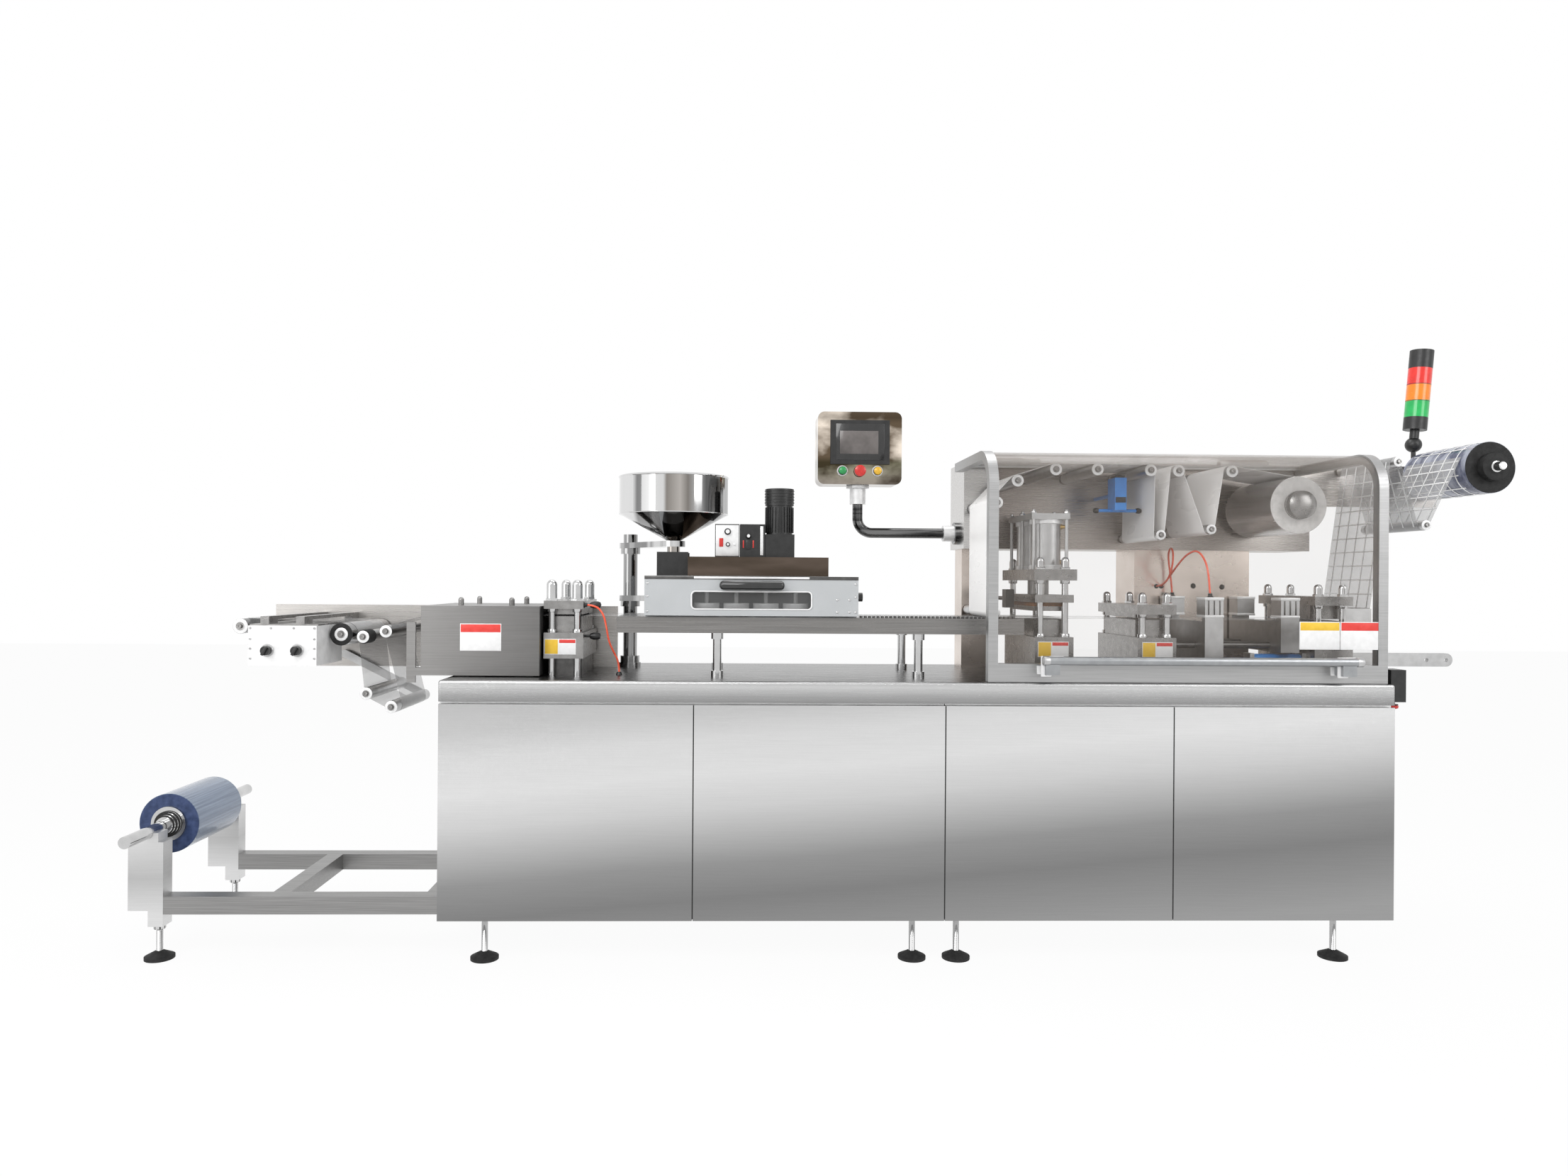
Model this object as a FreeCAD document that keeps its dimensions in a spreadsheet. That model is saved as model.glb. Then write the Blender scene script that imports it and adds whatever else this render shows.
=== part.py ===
import FreeCAD, Part
import math
import os
import re
import Sketcher

# Blister packing machine of the flat plate kind, in millimetres.
# X runs along the film's travel, Y runs into the machine, Z is up.
# The origin is on the floor, under the middle of the machine's overall box.
# A film reel stands at the lower left. The film climbs to the infeed rollers,
# is heated, formed, filled under the hopper, sealed with foil, embossed,
# pulled on by two grippers and punched. The waste web is wound up at the right.

SIZES = [
    # cabinet and table
    ("cabinet_left", -1137),
    ("cabinet_front", -300),
    ("cabinet_length", 2725),
    ("cabinet_depth", 663),
    ("cabinet_bottom", 126),
    ("door_thick", 20),
    ("door_gap", 2),
    ("seam_one", 716),
    ("seam_two", 1431),
    ("seam_three", 2085),
    ("pan_overhang", 2),
    ("pan_corner", 8),
    ("table_height", 802),
    # levelling feet, measured from the cabinet's ends and its middle seam
    ("foot_one", 122),
    ("foot_two", 82),
    ("foot_three", 46),
    ("foot_four", 142),
    ("foot_inset", 60),
    ("foot_radius", 40),
    ("foot_rim", 8),
    ("foot_cone", 14),
    ("foot_neck", 13),
    ("stud_radius", 8),
    ("nut_radius", 15),
    ("nut_high", 12),
    # unwinder
    ("post_left", -2014),
    ("post_wide", 98),
    ("post_tab", 42),
    ("post_thick", 50),
    ("post_reach", 232),
    ("post_bottom", 142),
    ("post_top", 336),
    ("tab_bottom", 97),
    ("rail_size", 50),
    ("rail_bottom", 132),
    ("crossbar_place", -1627),
    ("saddle_wide", 64),
    ("reel_x", -1962),
    ("reel_z", 362),
    ("reel_shaft_radius", 17),
    ("reel_shaft_length", 740),
    ("film_roll_radius", 87),
    ("film_core_radius", 38),
    ("film_roll_length", 270),
    ("flange_radius", 50),
    ("flange_thick", 8),
    ("cone_length", 26),
    ("cone_tip", 24),
    # fits and webs
    ("clearance", 0.3),
    ("film_wide", 250),
    ("film_height", 178),
    ("film_thick", 1),
    # infeed
    ("infeed_left", -1794),
    ("infeed_right", -684),
    ("infeed_y", 194),
    ("infeed_thick", 12),
    ("control_left", -1682),
    ("control_wide", 192),
    ("control_front", -260),
    ("control_deep", 200),
    ("knob_radius", 13),
    ("knob_deep", 18),
    ("knob_pitch", 84),
    ("splice_thick", 4),
    ("splice_inset", 10),
    ("clamp_one", 30),
    ("clamp_two", 130),
    ("clamp_wide", 24),
    ("clamp_lift", 12),
    ("clamp_high", 10),
    ("clamp_foot", 60),
    ("idler_radius", 18),
    ("idler_front", -170),
    ("axle_radius", 6),
    ("axle_nose", 6),
    ("roller_gap", 8),
    ("idler_one_x", -1744),
    ("idler_one_radius", 22),
    ("pinch_x", -1453),
    ("pinch_radius", 33),
    ("idler_two_x", -1390),
    ("idler_three_x", -1324),
    ("dancer_one_x", -1380),
    ("dancer_two_x", -1307),
    ("dancer_pivot_x", -1565),
    ("dancer_arm_high", 24),
    ("dancer_arm_thick", 10),
    # heating station
    ("heater_left", -1214),
    ("heater_wide", 342),
    ("heater_front", -200),
    ("cover_thick", 2),
    ("slot_side", 10),
    ("slot_half", 10),
    ("cover_cap_one", 96),
    ("cover_cap_two", 246),
    ("cover_cap_y", 120),
    ("cover_cap_radius", 8),
    ("cover_cap_high", 16),
    ("heater_inset", 30),
    ("heater_foot", 60),
    ("heater_plate_high", 40),
    ("heater_upper_high", 16),
    ("heater_gap", 6),
    ("strap_left", -1255),
    ("strap_wide", 26),
    ("strap_thick", 6),
    ("strap_foot", 22),
    # presses
    ("forming_x", -808),
    ("press_wide", 116),
    ("press_deep", 330),
    ("column_radius", 9.5),
    ("column_pitch_x", 75),
    ("column_pitch_y", 290),
    ("die_wide", 100),
    ("die_gap", 3),
    ("forming_cap_high", 62),
    ("forming_cap_radius", 15.5),
    ("cap_high", 37),
    ("cap_radius", 12),
    ("station_plate_high", 29),
    ("punch_plate_high", 27),
    ("crosshead_wide", 128),
    ("crosshead_over", 10),
    ("platen_high", 23),
    ("heater_head", 26),
    ("cylinder_radius", 44),
    ("cylinder_high", 152),
    ("cylinder_pitch", 150),
    ("cylinder_cap", 17),
    ("cylinder_rim", 8),
    ("ram_radius", 10),
    ("ram_gap", 3),
    ("tie_radius", 5),
    # hopper stand
    ("stand_x", -645),
    ("stand_y", 210),
    ("stand_radius", 23),
    ("stand_collar", 32),
    ("stand_collar_high", 22),
    ("stand_base_radius", 36),
    ("stand_base_high", 14),
    ("arm_high", 18),
    # hopper
    ("hopper_x", -494),
    ("hopper_radius", 168),
    ("hopper_neck", 20),
    ("hopper_wall", 2.5),
    ("chute_left", -542),
    ("chute_wide", 96),
    ("chute_deep", 120),
    ("chute_rise", 15),
    # feeder
    ("feeder_left", -569),
    ("feeder_length", 625),
    ("feeder_front", -200),
    ("feeder_deep", 375),
    ("feeder_wall", 3),
    ("skid_place", 140),
    ("skid_wide", 20),
    ("skid_lap", 8),
    ("lid_thick", 11),
    ("window_left", -430),
    ("window_wide", 347),
    ("window_high", 48),
    ("window_lap", 6),
    ("handle_left", -341),
    ("handle_wide", 170),
    ("handle_high", 26),
    ("handle_deep", 34),
    ("handle_stem", 9),
    ("feeder_knob_y", -150),
    ("brush_pitch", 88),
    ("brush_margin", 7),
    ("brush_lift", 20),
    ("brush_radius", 38),
    ("brush_high", 20),
    ("brush_axle", 6),
    ("drive_left", -446),
    ("drive_wide", 423),
    ("drive_front", -110),
    ("drive_deep", 250),
    ("panel_left", -365),
    ("panel_set_back", 30),
    ("panel_wide", 74),
    ("panel_high", 100),
    ("panel_deep", 70),
    ("speed_wide", 76),
    ("motor_left", -212),
    ("motor_wide", 88),
    ("motor_radius", 40),
    ("gearbox_high", 70),
    ("motor_high", 89),
    ("motor_cap_high", 51),
    # guide track
    ("track_left", -652),
    ("track_gap", 34),
    ("track_deep", 340),
    ("track_high", 47),
    ("track_leg_one", -356),
    ("track_leg_radius", 13),
    ("track_collar_radius", 18.5),
    ("track_collar_high", 18),
    # operator panel
    ("hmi_y", 250),
    ("hmi_wide", 278),
    ("hmi_high", 240),
    ("hmi_deep", 100),
    ("hmi_corner", 22),
    ("bezel_wide", 196),
    ("bezel_high", 146),
    ("bezel_thick", 6),
    ("bezel_drop", 28),
    ("button_pitch", 58),
    ("button_height", 44),
    ("button_radius", 14),
    ("button_deep", 14),
    ("hmi_tube_radius", 17),
    ("hmi_bend", 48),
    ("hmi_hub_radius", 26),
    ("arm_flange_radius", 37),
    ("arm_flange_thick", 14),
    ("arm_sleeve", 50),
    # back structure
    ("beam_length", 1148),
    ("beam_front", 160),
    ("beam_deep", 198),
    ("beam_sheet", 3),
    ("wing_thick", 15),
    ("pedestal_wide", 383),
    ("pedestal_deep", 160),
    ("leg_inset", 8),
    ("leg_y", 220),
    ("leg_wide", 120),
    ("leg_deep", 100),
    # hood
    ("hood_length", 1156),
    ("hood_front", -290),
    ("hood_lift", 1),
    ("hood_gap", 5),
    ("hood_corner", 110),
    ("hood_bar", 28),
    ("hood_rear", 14),
    ("hood_sill", 52),
    ("hood_glass", 5),
    ("glass_inset", 4),
    ("hinge_radius", 8),
    ("hinge_y", 166),
    ("hinge_inset", 120),
    ("hinge_length", 160),
    ("leaf_deep", 12),
    ("grip_radius", 12),
    ("grip_length", 894),
    ("grip_end", 4),
    ("grip_y", -332),
    ("bracket_wide", 40),
    ("bracket_high", 40),
    # foil and waste line
    ("roller_radius", 18),
    ("small_radius", 15),
    ("roller_front", -140),
    ("reel_front", -150),
    ("chuck_long", 26),
    ("chuck_radius", 41),
    ("spindle_radius", 15),
    ("foil_radius", 86),
    ("foil_length", 280),
    ("turn_side", 130),
    ("turn_plate", 8),
    ("exit_plate_high", 90),
    ("swing_reach", 145),
    ("swing_rise", 121),
    ("swing_half", 16),
    ("waste_radius", 78),
    ("waste_length", 288),
    # grippers
    ("gripper_wide", 56),
    ("gripper_reach", 160),
    ("gripper_deep", 55),
    ("gripper_post", 20),
    ("gripper_high", 60),
    ("gripper_gap", 6),
    ("guide_offset", 90),
    ("guide_radius", 10),
    ("carriage_high", 36),
    ("index_y", -100),
    ("index_radius", 18),
    ("index_length", 148),
    ("index_cap", 12),
    ("index_cap_side", 40),
    ("index_rod", 6),
    # tower lamp
    ("lamp_stud", 7),
    ("lamp_ball", 25),
    ("lamp_pole", 14),
    ("lamp_neck", 49),
    ("lamp_base", 41),
    ("lamp_radius", 35),
    ("lamp_section", 53),
    ("lamp_ring", 2),
    ("lamp_cap", 60),
    ("lamp_lean", 5),
    # discharge, stop button and mark sensor
    ("bar_high", 40),
    ("bar_thick", 14),
    ("bar_y", -160),
    ("bar_foot", 40),
    ("bar_hole", 6),
    ("bar_hole_pitch", 60),
    ("stop_lift", 7),
    ("stop_box_wide", 44),
    ("stop_box_deep", 60),
    ("stop_box_high", 93),
    ("stop_radius", 16),
    ("stop_high", 12),
    ("stop_stem", 8),
    ("sensor_y", -70),
    ("sensor_wide", 26),
    ("sensor_deep", 40),
    ("sensor_high", 56),
    ("foil_sensor_y", -60),
    ("foil_sensor_wide", 36),
    ("foil_sensor_deep", 60),
    ("foil_sensor_high", 100),
    ("foil_sensor_rod", 5),
    ("foil_sensor_reach", 62),
    # hoses
    ("hose_thick", 6),
]

# Heights above the table's top
ABOVE_TABLE = [
    # cabinet and table
    ("door_top", -67),
    ("pan_bottom", -60),
    # infeed
    ("infeed_top", 198),
    ("infeed_low", -2),
    ("control_bottom", 35),
    ("control_top", 148),
    ("knob_height", 78),
    ("idler_one_z", 142),
    ("pinch_z", 120),
    ("idler_two_z", 113),
    ("idler_three_z", 129),
    ("dancer_one_z", -53),
    ("dancer_two_z", -92),
    ("dancer_pivot_z", 40),
    # heating station
    ("heater_low", 4),
    ("heater_top", 206),
    ("strap_low", -17),
    ("strap_top", 158),
    # presses
    ("press_block_top", 123),
    ("forming_block_low", 52),
    ("forming_block_top", 128),
    ("forming_plate_low", 198),
    ("forming_plate_top", 222),
    ("station_plate_low", 192),
    ("punch_plate_low", 222),
    ("crosshead_low", 292),
    ("crosshead_top", 325),
    ("platen_low", 226),
    # hopper stand
    ("stand_top", 434),
    ("arm_low", 388),
    ("lower_arm_z", 216),
    # hopper
    ("hopper_top", 601),
    ("hopper_shoulder", 488),
    ("hopper_neck_z", 406),
    ("hopper_spout_z", 347),
    # feeder
    ("feeder_low", 182),
    ("feeder_top", 287),
    ("window_low", 203),
    ("handle_low", 258),
    ("feeder_knob_z", 238),
    ("drive_top", 356),
    # operator panel
    ("hmi_low", 606),
    ("hmi_tube_z", 448),
    ("hmi_joint_z", 543),
    # back structure
    ("beam_low", 395),
    ("beam_top", 678),
    ("wing_low", 543),
    # hood
    ("hood_top", 672),
    ("hinge_z", 686),
    ("grip_z", 65),
    # foil and waste line
    ("guide_a_z", 524),
    ("guide_b_z", 590),
    ("guide_c_z", 625),
    ("guide_d_z", 626),
    ("guide_e_z", 625),
    ("guide_f_z", 431),
    ("guide_g_z", 624),
    ("guide_h_z", 449),
    ("guide_i_z", 624),
    ("foil_z", 523),
    ("waste_high_z", 658),
    ("waste_low_z", 467),
    ("waste_z", 642),
    # grippers
    ("guide_z", 98),
    ("index_z", 55),
    # tower lamp
    ("lamp_ball_z", 751),
    # discharge, stop button and mark sensor
    ("bar_low", 41),
    ("sensor_low", 208),
    ("foil_sensor_low", 510),
]

# Distances along the line, back from the cabinet's right end
FROM_RIGHT_END = [
    # presses
    ("sealing_x", 943),
    ("embossing_x", 634),
    ("punch_x", 100),
    # guide track
    ("track_leg_two", 1345),
    # operator panel
    ("hmi_x", 1478),
    # back structure
    ("beam_left", 1140),
    ("wing_right", -433),
    ("pedestal_left", 572),
    # hood
    ("hood_left", 1172),
    ("grip_left", 1025),
    # foil and waste line
    ("guide_a_x", 1110),
    ("guide_b_x", 1048),
    ("guide_c_x", 933),
    ("guide_d_x", 807),
    ("guide_e_x", 646),
    ("guide_f_x", 614),
    ("guide_g_x", 561),
    ("guide_h_x", 461),
    ("guide_i_x", 399),
    ("foil_turn_x", 1113),
    ("foil_x", 202),
    ("turn_x", -15),
    ("waste_high_x", -109),
    ("waste_low_x", -196),
    ("waste_x", -383),
    # grippers
    ("gripper_one_x", 460),
    ("gripper_two_x", 230),
    # tower lamp
    ("lamp_x", -360),
    # discharge, stop button and mark sensor
    ("bar_right", -265),
    ("sensor_x", 1050),
    ("foil_sensor_x", 706),
]

doc = FreeCAD.newDocument("blister_packing_machine")
sheet = doc.addObject("Spreadsheet::Sheet", "sizes")
nodes = []


def fill_sheet():
    """Put every size and place into the sheet under its own name."""
    rows = [(name, str(value)) for name, value in SIZES]
    rows += [(name, f"=table_height + ({value})") for name, value in ABOVE_TABLE]
    rows += [(name, f"=cabinet_left + cabinet_length - ({value})")
             for name, value in FROM_RIGHT_END]
    for row, (name, text) in enumerate(rows, 1):
        sheet.set(f"A{row}", name)
        sheet.set(f"B{row}", text)
        sheet.setAlias(f"B{row}", name)
    doc.recompute()


def bound(text):
    """Write the sheet's name before each size in an expression."""
    return re.sub(r"\b[a-z][a-z0-9_]*\b(?!\()", r"sizes.\g<0>", str(text))


def place(item, x, y, z):
    """Bind an object's position to three expressions."""
    for axis, text in zip("xyz", (x, y, z)):
        item.setExpression("Placement.Base." + axis, bound(text))
    return item


def block(x, y, z, length, deep, high):
    """A box from its low corner and its three sides."""
    item = doc.addObject("Part::Box", "block")
    item.setExpression("Length", bound(length))
    item.setExpression("Width", bound(deep))
    item.setExpression("Height", bound(high))
    return place(item, x, y, z)


TURNS = {
    "X": FreeCAD.Rotation(FreeCAD.Vector(0, 1, 0), 90),
    "Y": FreeCAD.Rotation(FreeCAD.Vector(1, 0, 0), -90),
    "Z": FreeCAD.Rotation(),
}


def rod(axis, x, y, z, radius, length):
    """A round bar that starts at a point and runs along an axis."""
    item = doc.addObject("Part::Cylinder", "rod")
    item.setExpression("Radius", bound(radius))
    item.setExpression("Height", bound(length))
    item.Placement = FreeCAD.Placement(FreeCAD.Vector(), TURNS[axis])
    return place(item, x, y, z)


def taper(axis, x, y, z, first, last, length):
    """A cone between two radii along an axis."""
    item = doc.addObject("Part::Cone", "taper")
    item.setExpression("Radius1", bound(first))
    item.setExpression("Radius2", bound(last))
    item.setExpression("Height", bound(length))
    item.Placement = FreeCAD.Placement(FreeCAD.Vector(), TURNS[axis])
    return place(item, x, y, z)


def ball(x, y, z, radius):
    """A full sphere."""
    item = doc.addObject("Part::Sphere", "ball")
    item.setExpression("Radius", bound(radius))
    return place(item, x, y, z)


def hexagon(axis, x, y, z, radius, length):
    """A six-sided nut or head."""
    item = doc.addObject("Part::Prism", "hexagon")
    item.Polygon = 6
    item.setExpression("Circumradius", bound(radius))
    item.setExpression("Height", bound(length))
    item.Placement = FreeCAD.Placement(FreeCAD.Vector(), TURNS[axis])
    return place(item, x, y, z)


def join(*parts):
    """Several solids made into one."""
    item = doc.addObject("Part::MultiFuse", "join")
    item.Shapes = list(parts)
    item.Refine = True
    return item


def cut(base, *tools):
    """A solid with others taken out of it."""
    item = doc.addObject("Part::Cut", "cut")
    item.Base = base
    item.Tool = tools[0] if len(tools) == 1 else join(*tools)
    item.Refine = True
    return item


def several(*parts):
    """Solids that stay apart and share one node."""
    item = doc.addObject("Part::Compound", "several")
    item.Links = list(parts)
    return item


def node(label, item):
    """Give a finished sub-part its name and keep it for export."""
    item.Label = label
    nodes.append(item)
    return item


PLANES = {"XY": ("XY_Plane", False), "XZ": ("XZ_Plane", True), "YZ": ("YZ_Plane", False)}


def outline(body, plane, points):
    """A closed polygon sketch whose corners are bound to expressions."""
    role = PLANES[plane][0]
    base = next(o for o in body.Origin.OriginFeatures if o.Role == role)
    sketch = body.newObject("Sketcher::SketchObject", "outline")
    sketch.AttachmentSupport = [(base, "")]
    sketch.MapMode = "FlatFace"
    count = len(points)
    guess = [FreeCAD.Vector(10 * math.cos(2 * math.pi * i / count) + 20,
                            10 * math.sin(2 * math.pi * i / count) + 20, 0)
             for i in range(count)]
    for i in range(count):
        line = Part.LineSegment(guess[i], guess[(i + 1) % count])
        sketch.addGeometry(line, False)
    for i in range(count):
        sketch.addConstraint(Sketcher.Constraint("Coincident", i, 2, (i + 1) % count, 1))
    for i, (across, up) in enumerate(points):
        for kind, text, start in (("DistanceX", across, guess[i].x), ("DistanceY", up, guess[i].y)):
            number = sketch.addConstraint(Sketcher.Constraint(kind, -1, 1, i, 1, start))
            sketch.setExpression(f"Constraints[{number}]", bound(text))
    return sketch


def profile(plane, x, y, z, points, thick):
    """A body padded from a polygon that starts at the given place."""
    body = doc.addObject("PartDesign::Body", "profile")
    sketch = outline(body, plane, points)
    pad = body.newObject("PartDesign::Pad", "pad")
    pad.Profile = sketch
    pad.setExpression("Length", bound(thick))
    pad.Reversed = PLANES[plane][1]
    body.Tip = pad
    return place(body, x, y, z)


def turned(x, y, z, points):
    """A body of revolution about its own Z axis from a polygon of radius and height."""
    body = doc.addObject("PartDesign::Body", "turned")
    sketch = outline(body, "XZ", points)
    revolution = body.newObject("PartDesign::Revolution", "revolution")
    revolution.Profile = sketch
    axis = next(o for o in body.Origin.OriginFeatures if o.Role == "Z_Axis")
    revolution.ReferenceAxis = (axis, [""])
    revolution.Angle = 360
    body.Tip = revolution
    return place(body, x, y, z)


def rounded(body, wanted, radius):
    """Fillet the edges of a body's last feature that the test picks."""
    doc.recompute()
    base = body.Tip
    names = [f"Edge{i}" for i, edge in enumerate(base.Shape.Edges, 1) if wanted(edge)]
    fillet = body.newObject("PartDesign::Fillet", "fillet")
    fillet.Base = (base, names)
    fillet.setExpression("Radius", bound(radius))
    body.Tip = fillet
    return body


def along(edge, axis):
    """True for a straight edge that runs along an axis."""
    if not isinstance(edge.Curve, Part.Line):
        return False
    return abs(getattr(edge.Curve.Direction, axis)) > 0.999


def size(name):
    """A size's number, for the shapes that are worked out in code."""
    return float(sheet.get(name))


def belt(rollers, thick):
    """A web wrapped round rollers: each is x, z, radius and turn (1 left, -1 right)."""
    gap = size("clearance")
    arcs = []
    for x, z, radius, turn in rollers:
        near = radius + gap + (thick if turn < 0 else 0) if radius else 0
        arcs.append((x, z, near, turn))
    headings = []
    for (x1, z1, r1, t1), (x2, z2, r2, t2) in zip(arcs, arcs[1:]):
        far = math.hypot(x2 - x1, z2 - z1)
        headings.append(math.atan2(z2 - z1, x2 - x1) - math.asin((t2 * r2 - t1 * r1) / far))

    def side(extra):
        """One face of the web, as a chain of lines and arcs."""
        edges, last, first = [], None, None
        for i, (x, z, radius, turn) in enumerate(arcs):
            reach = turn * radius + extra
            spots = headings[max(i - 1, 0):i + 1]
            if len(spots) == 2:
                swing = (spots[1] - spots[0] + math.pi) % (2 * math.pi) - math.pi
                middle = spots[0] + swing / 2
                tight = not radius or swing * turn < 0.01
                spots = [middle] if tight else [spots[0], middle, spots[1]]
            points = [FreeCAD.Vector(x + reach * math.sin(a), 0, z - reach * math.cos(a))
                      for a in spots]
            if last is not None:
                edges.append(Part.makeLine(last, points[0]))
            if len(points) == 3:
                edges.append(Part.Arc(*points).toShape())
            last = points[-1]
            first = first or points[0]
        return edges, first, last

    inner, inner_start, inner_end = side(0)
    outer, outer_start, outer_end = side(thick)
    ends = [Part.makeLine(inner_start, outer_start), Part.makeLine(inner_end, outer_end)]
    return Part.Face(Part.Wire(Part.__sortEdges__(inner + outer + ends)))


def web(label, rollers, wide, middle):
    """A film or foil web as a thin solid that follows its rollers."""
    face = belt(rollers, size("film_thick"))
    face.translate(FreeCAD.Vector(0, middle - wide / 2, 0))
    item = doc.addObject("Part::Feature", label)
    item.Shape = face.extrude(FreeCAD.Vector(0, wide, 0))
    item.Placement = FreeCAD.Placement()
    return node(label, item)


FILM_Z = "(table_height + film_height)"
TRACK_TOP = "(table_height + film_height - film_thick - clearance)"
BACK = "(cabinet_front + cabinet_depth)"
LAMP_Y = "beam_front + wing_thick/2"
BRUSHES = 4
BAR_HOLES = 2
BUTTONS = 3
LENSES = 3
GUIDES = [("guide_a_x", "guide_a_z", "roller_radius", 1),
          ("guide_b_x", "guide_b_z", "roller_radius", 1),
          ("guide_c_x", "guide_c_z", "roller_radius", 1),
          ("guide_d_x", "guide_d_z", "roller_radius", 1),
          ("guide_e_x", "guide_e_z", "roller_radius", 1),
          ("guide_f_x", "guide_f_z", "small_radius", -1),
          ("guide_g_x", "guide_g_z", "roller_radius", 1),
          ("guide_h_x", "guide_h_z", "small_radius", -1),
          ("guide_i_x", "guide_i_z", "roller_radius", 1)]


def cabinet():
    """Two base modules side by side, with doors in front and behind."""
    deep = "cabinet_depth - 2*door_thick"
    front = "cabinet_front + door_thick"
    high = "pan_bottom - cabinet_bottom"
    split = "cabinet_left + seam_two"
    node("cabinet_bases", several(
        block("cabinet_left", front, "cabinet_bottom", "seam_two - door_gap/2", deep, high),
        block(split + " + door_gap/2", front, "cabinet_bottom",
              "cabinet_length - seam_two - door_gap/2", deep, high)))
    seams = ["0", "seam_one", "seam_two", "seam_three", "cabinet_length"]
    doors = []
    for y in ("cabinet_front", BACK + " - door_thick"):
        doors += [block(f"cabinet_left + {a} + door_gap/2", y, "cabinet_bottom",
                        f"{b} - {a} - door_gap", "door_thick", "door_top - cabinet_bottom")
                  for a, b in zip(seams, seams[1:])]
    node("cabinet_doors", several(*doors))


def table():
    """The rolled-edge table pan that closes the cabinet's top."""
    wide, deep = "cabinet_length", "cabinet_depth + pan_overhang"
    corners = [("0", "0"), (wide, "0"), (wide, deep), ("0", deep)]
    pan = profile("XY", "cabinet_left", "cabinet_front - pan_overhang", "pan_bottom",
                  corners, "table_height - pan_bottom")
    top = size("table_height") - size("pan_bottom")
    rounded(pan, lambda e: along(e, "z") or e.CenterOfMass.z > top - 0.1, "pan_corner")
    node("table_pan", pan)


def feet():
    """Rubber levelling feet, each with a threaded stud and a lock nut."""
    spots = []
    for place_x in ("foot_one", "seam_two - foot_two", "seam_two + foot_three",
                    "cabinet_length - foot_four"):
        for y in ("cabinet_front + foot_inset", BACK + " - foot_inset"):
            spots.append(("cabinet_left + " + place_x, y, "cabinet_bottom"))
    for y in ("-post_reach", "post_reach"):
        spots.append(("post_left + post_wide - post_tab/2", y, "tab_bottom"))
    made = []
    low = "(foot_rim + foot_cone)"
    for x, y, top in spots:
        made.append(join(rod("Z", x, y, "0", "foot_radius", "foot_rim"),
                         taper("Z", x, y, "foot_rim", "foot_radius", "foot_neck", "foot_cone"),
                         rod("Z", x, y, low, "stud_radius", f"{top} - {low}"),
                         hexagon("Z", x, y, f"{top} - nut_high", "nut_radius", "nut_high")))
    node("levelling_feet", several(*made))


def unwinder():
    """Two sheet posts with open saddles for the reel shaft, on a rail frame."""
    step = "post_wide - post_tab"
    lift = "post_bottom - tab_bottom"
    high = "post_top - tab_bottom"
    shape = [(step, "0"), ("post_wide", "0"), ("post_wide", high), ("0", high),
             ("0", lift), (step, lift)]
    posts = []
    for side in ("-", ""):
        post = profile("XZ", "post_left", f"{side}post_reach - post_thick/2", "tab_bottom",
                       shape, "post_thick")
        saddle = block("reel_x - saddle_wide/2", f"{side}post_reach - post_thick/2", "post_top",
                       "saddle_wide", "post_thick", "reel_z - post_top")
        bore = rod("Y", "reel_x", f"{side}post_reach - post_thick", "reel_z",
                   "reel_shaft_radius + clearance", "2*post_thick")
        posts.append(join(post, cut(saddle, bore)))
    node("unwinder_posts", several(*posts))
    start = "post_left + post_wide"
    rails = [block(start, f"{side}post_reach - rail_size/2", "rail_bottom",
                   "cabinet_left - post_left - post_wide", "rail_size", "rail_size")
             for side in ("-", "")]
    bars = [block(x, "rail_size/2 - post_reach", "rail_bottom", "rail_size",
                  "2*post_reach - rail_size", "rail_size")
            for x in ("crossbar_place", "cabinet_left - rail_size")]
    node("unwinder_rails", join(*rails, *bars))


def film_reel():
    """Clear film roll, and the shaft with the flanges and cones that clamp it."""
    shaft = rod("Y", "reel_x", "-reel_shaft_length/2", "reel_z", "reel_shaft_radius",
                "reel_shaft_length")
    hubs = [shaft]
    near = "-film_roll_length/2 - flange_thick"
    for flange_y, cone_y, first, last in (
            (near, near + " - cone_length", "cone_tip", "film_core_radius"),
            ("film_roll_length/2", "film_roll_length/2 + flange_thick",
             "film_core_radius", "cone_tip")):
        hubs.append(rod("Y", "reel_x", flange_y, "reel_z", "flange_radius", "flange_thick"))
        hubs.append(taper("Y", "reel_x", cone_y, "reel_z", first, last, "cone_length"))
    node("film_shaft", join(*hubs))
    roll = rod("Y", "reel_x", "-film_roll_length/2", "reel_z",
               "film_roll_radius", "film_roll_length")
    core = rod("Y", "reel_x", "-film_roll_length", "reel_z",
               "film_core_radius", "2*film_roll_length")
    node("film_roll", cut(roll, core))


def roller(x, z, radius, front, back):
    """A roller on a thin axle that ends at the plate behind it."""
    return join(rod("Y", x, front, z, radius, f"{back} - roller_gap - {front}"),
                rod("Y", x, f"{front} - axle_nose", z, "axle_radius",
                    f"{back} - {front} + axle_nose"))


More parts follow.
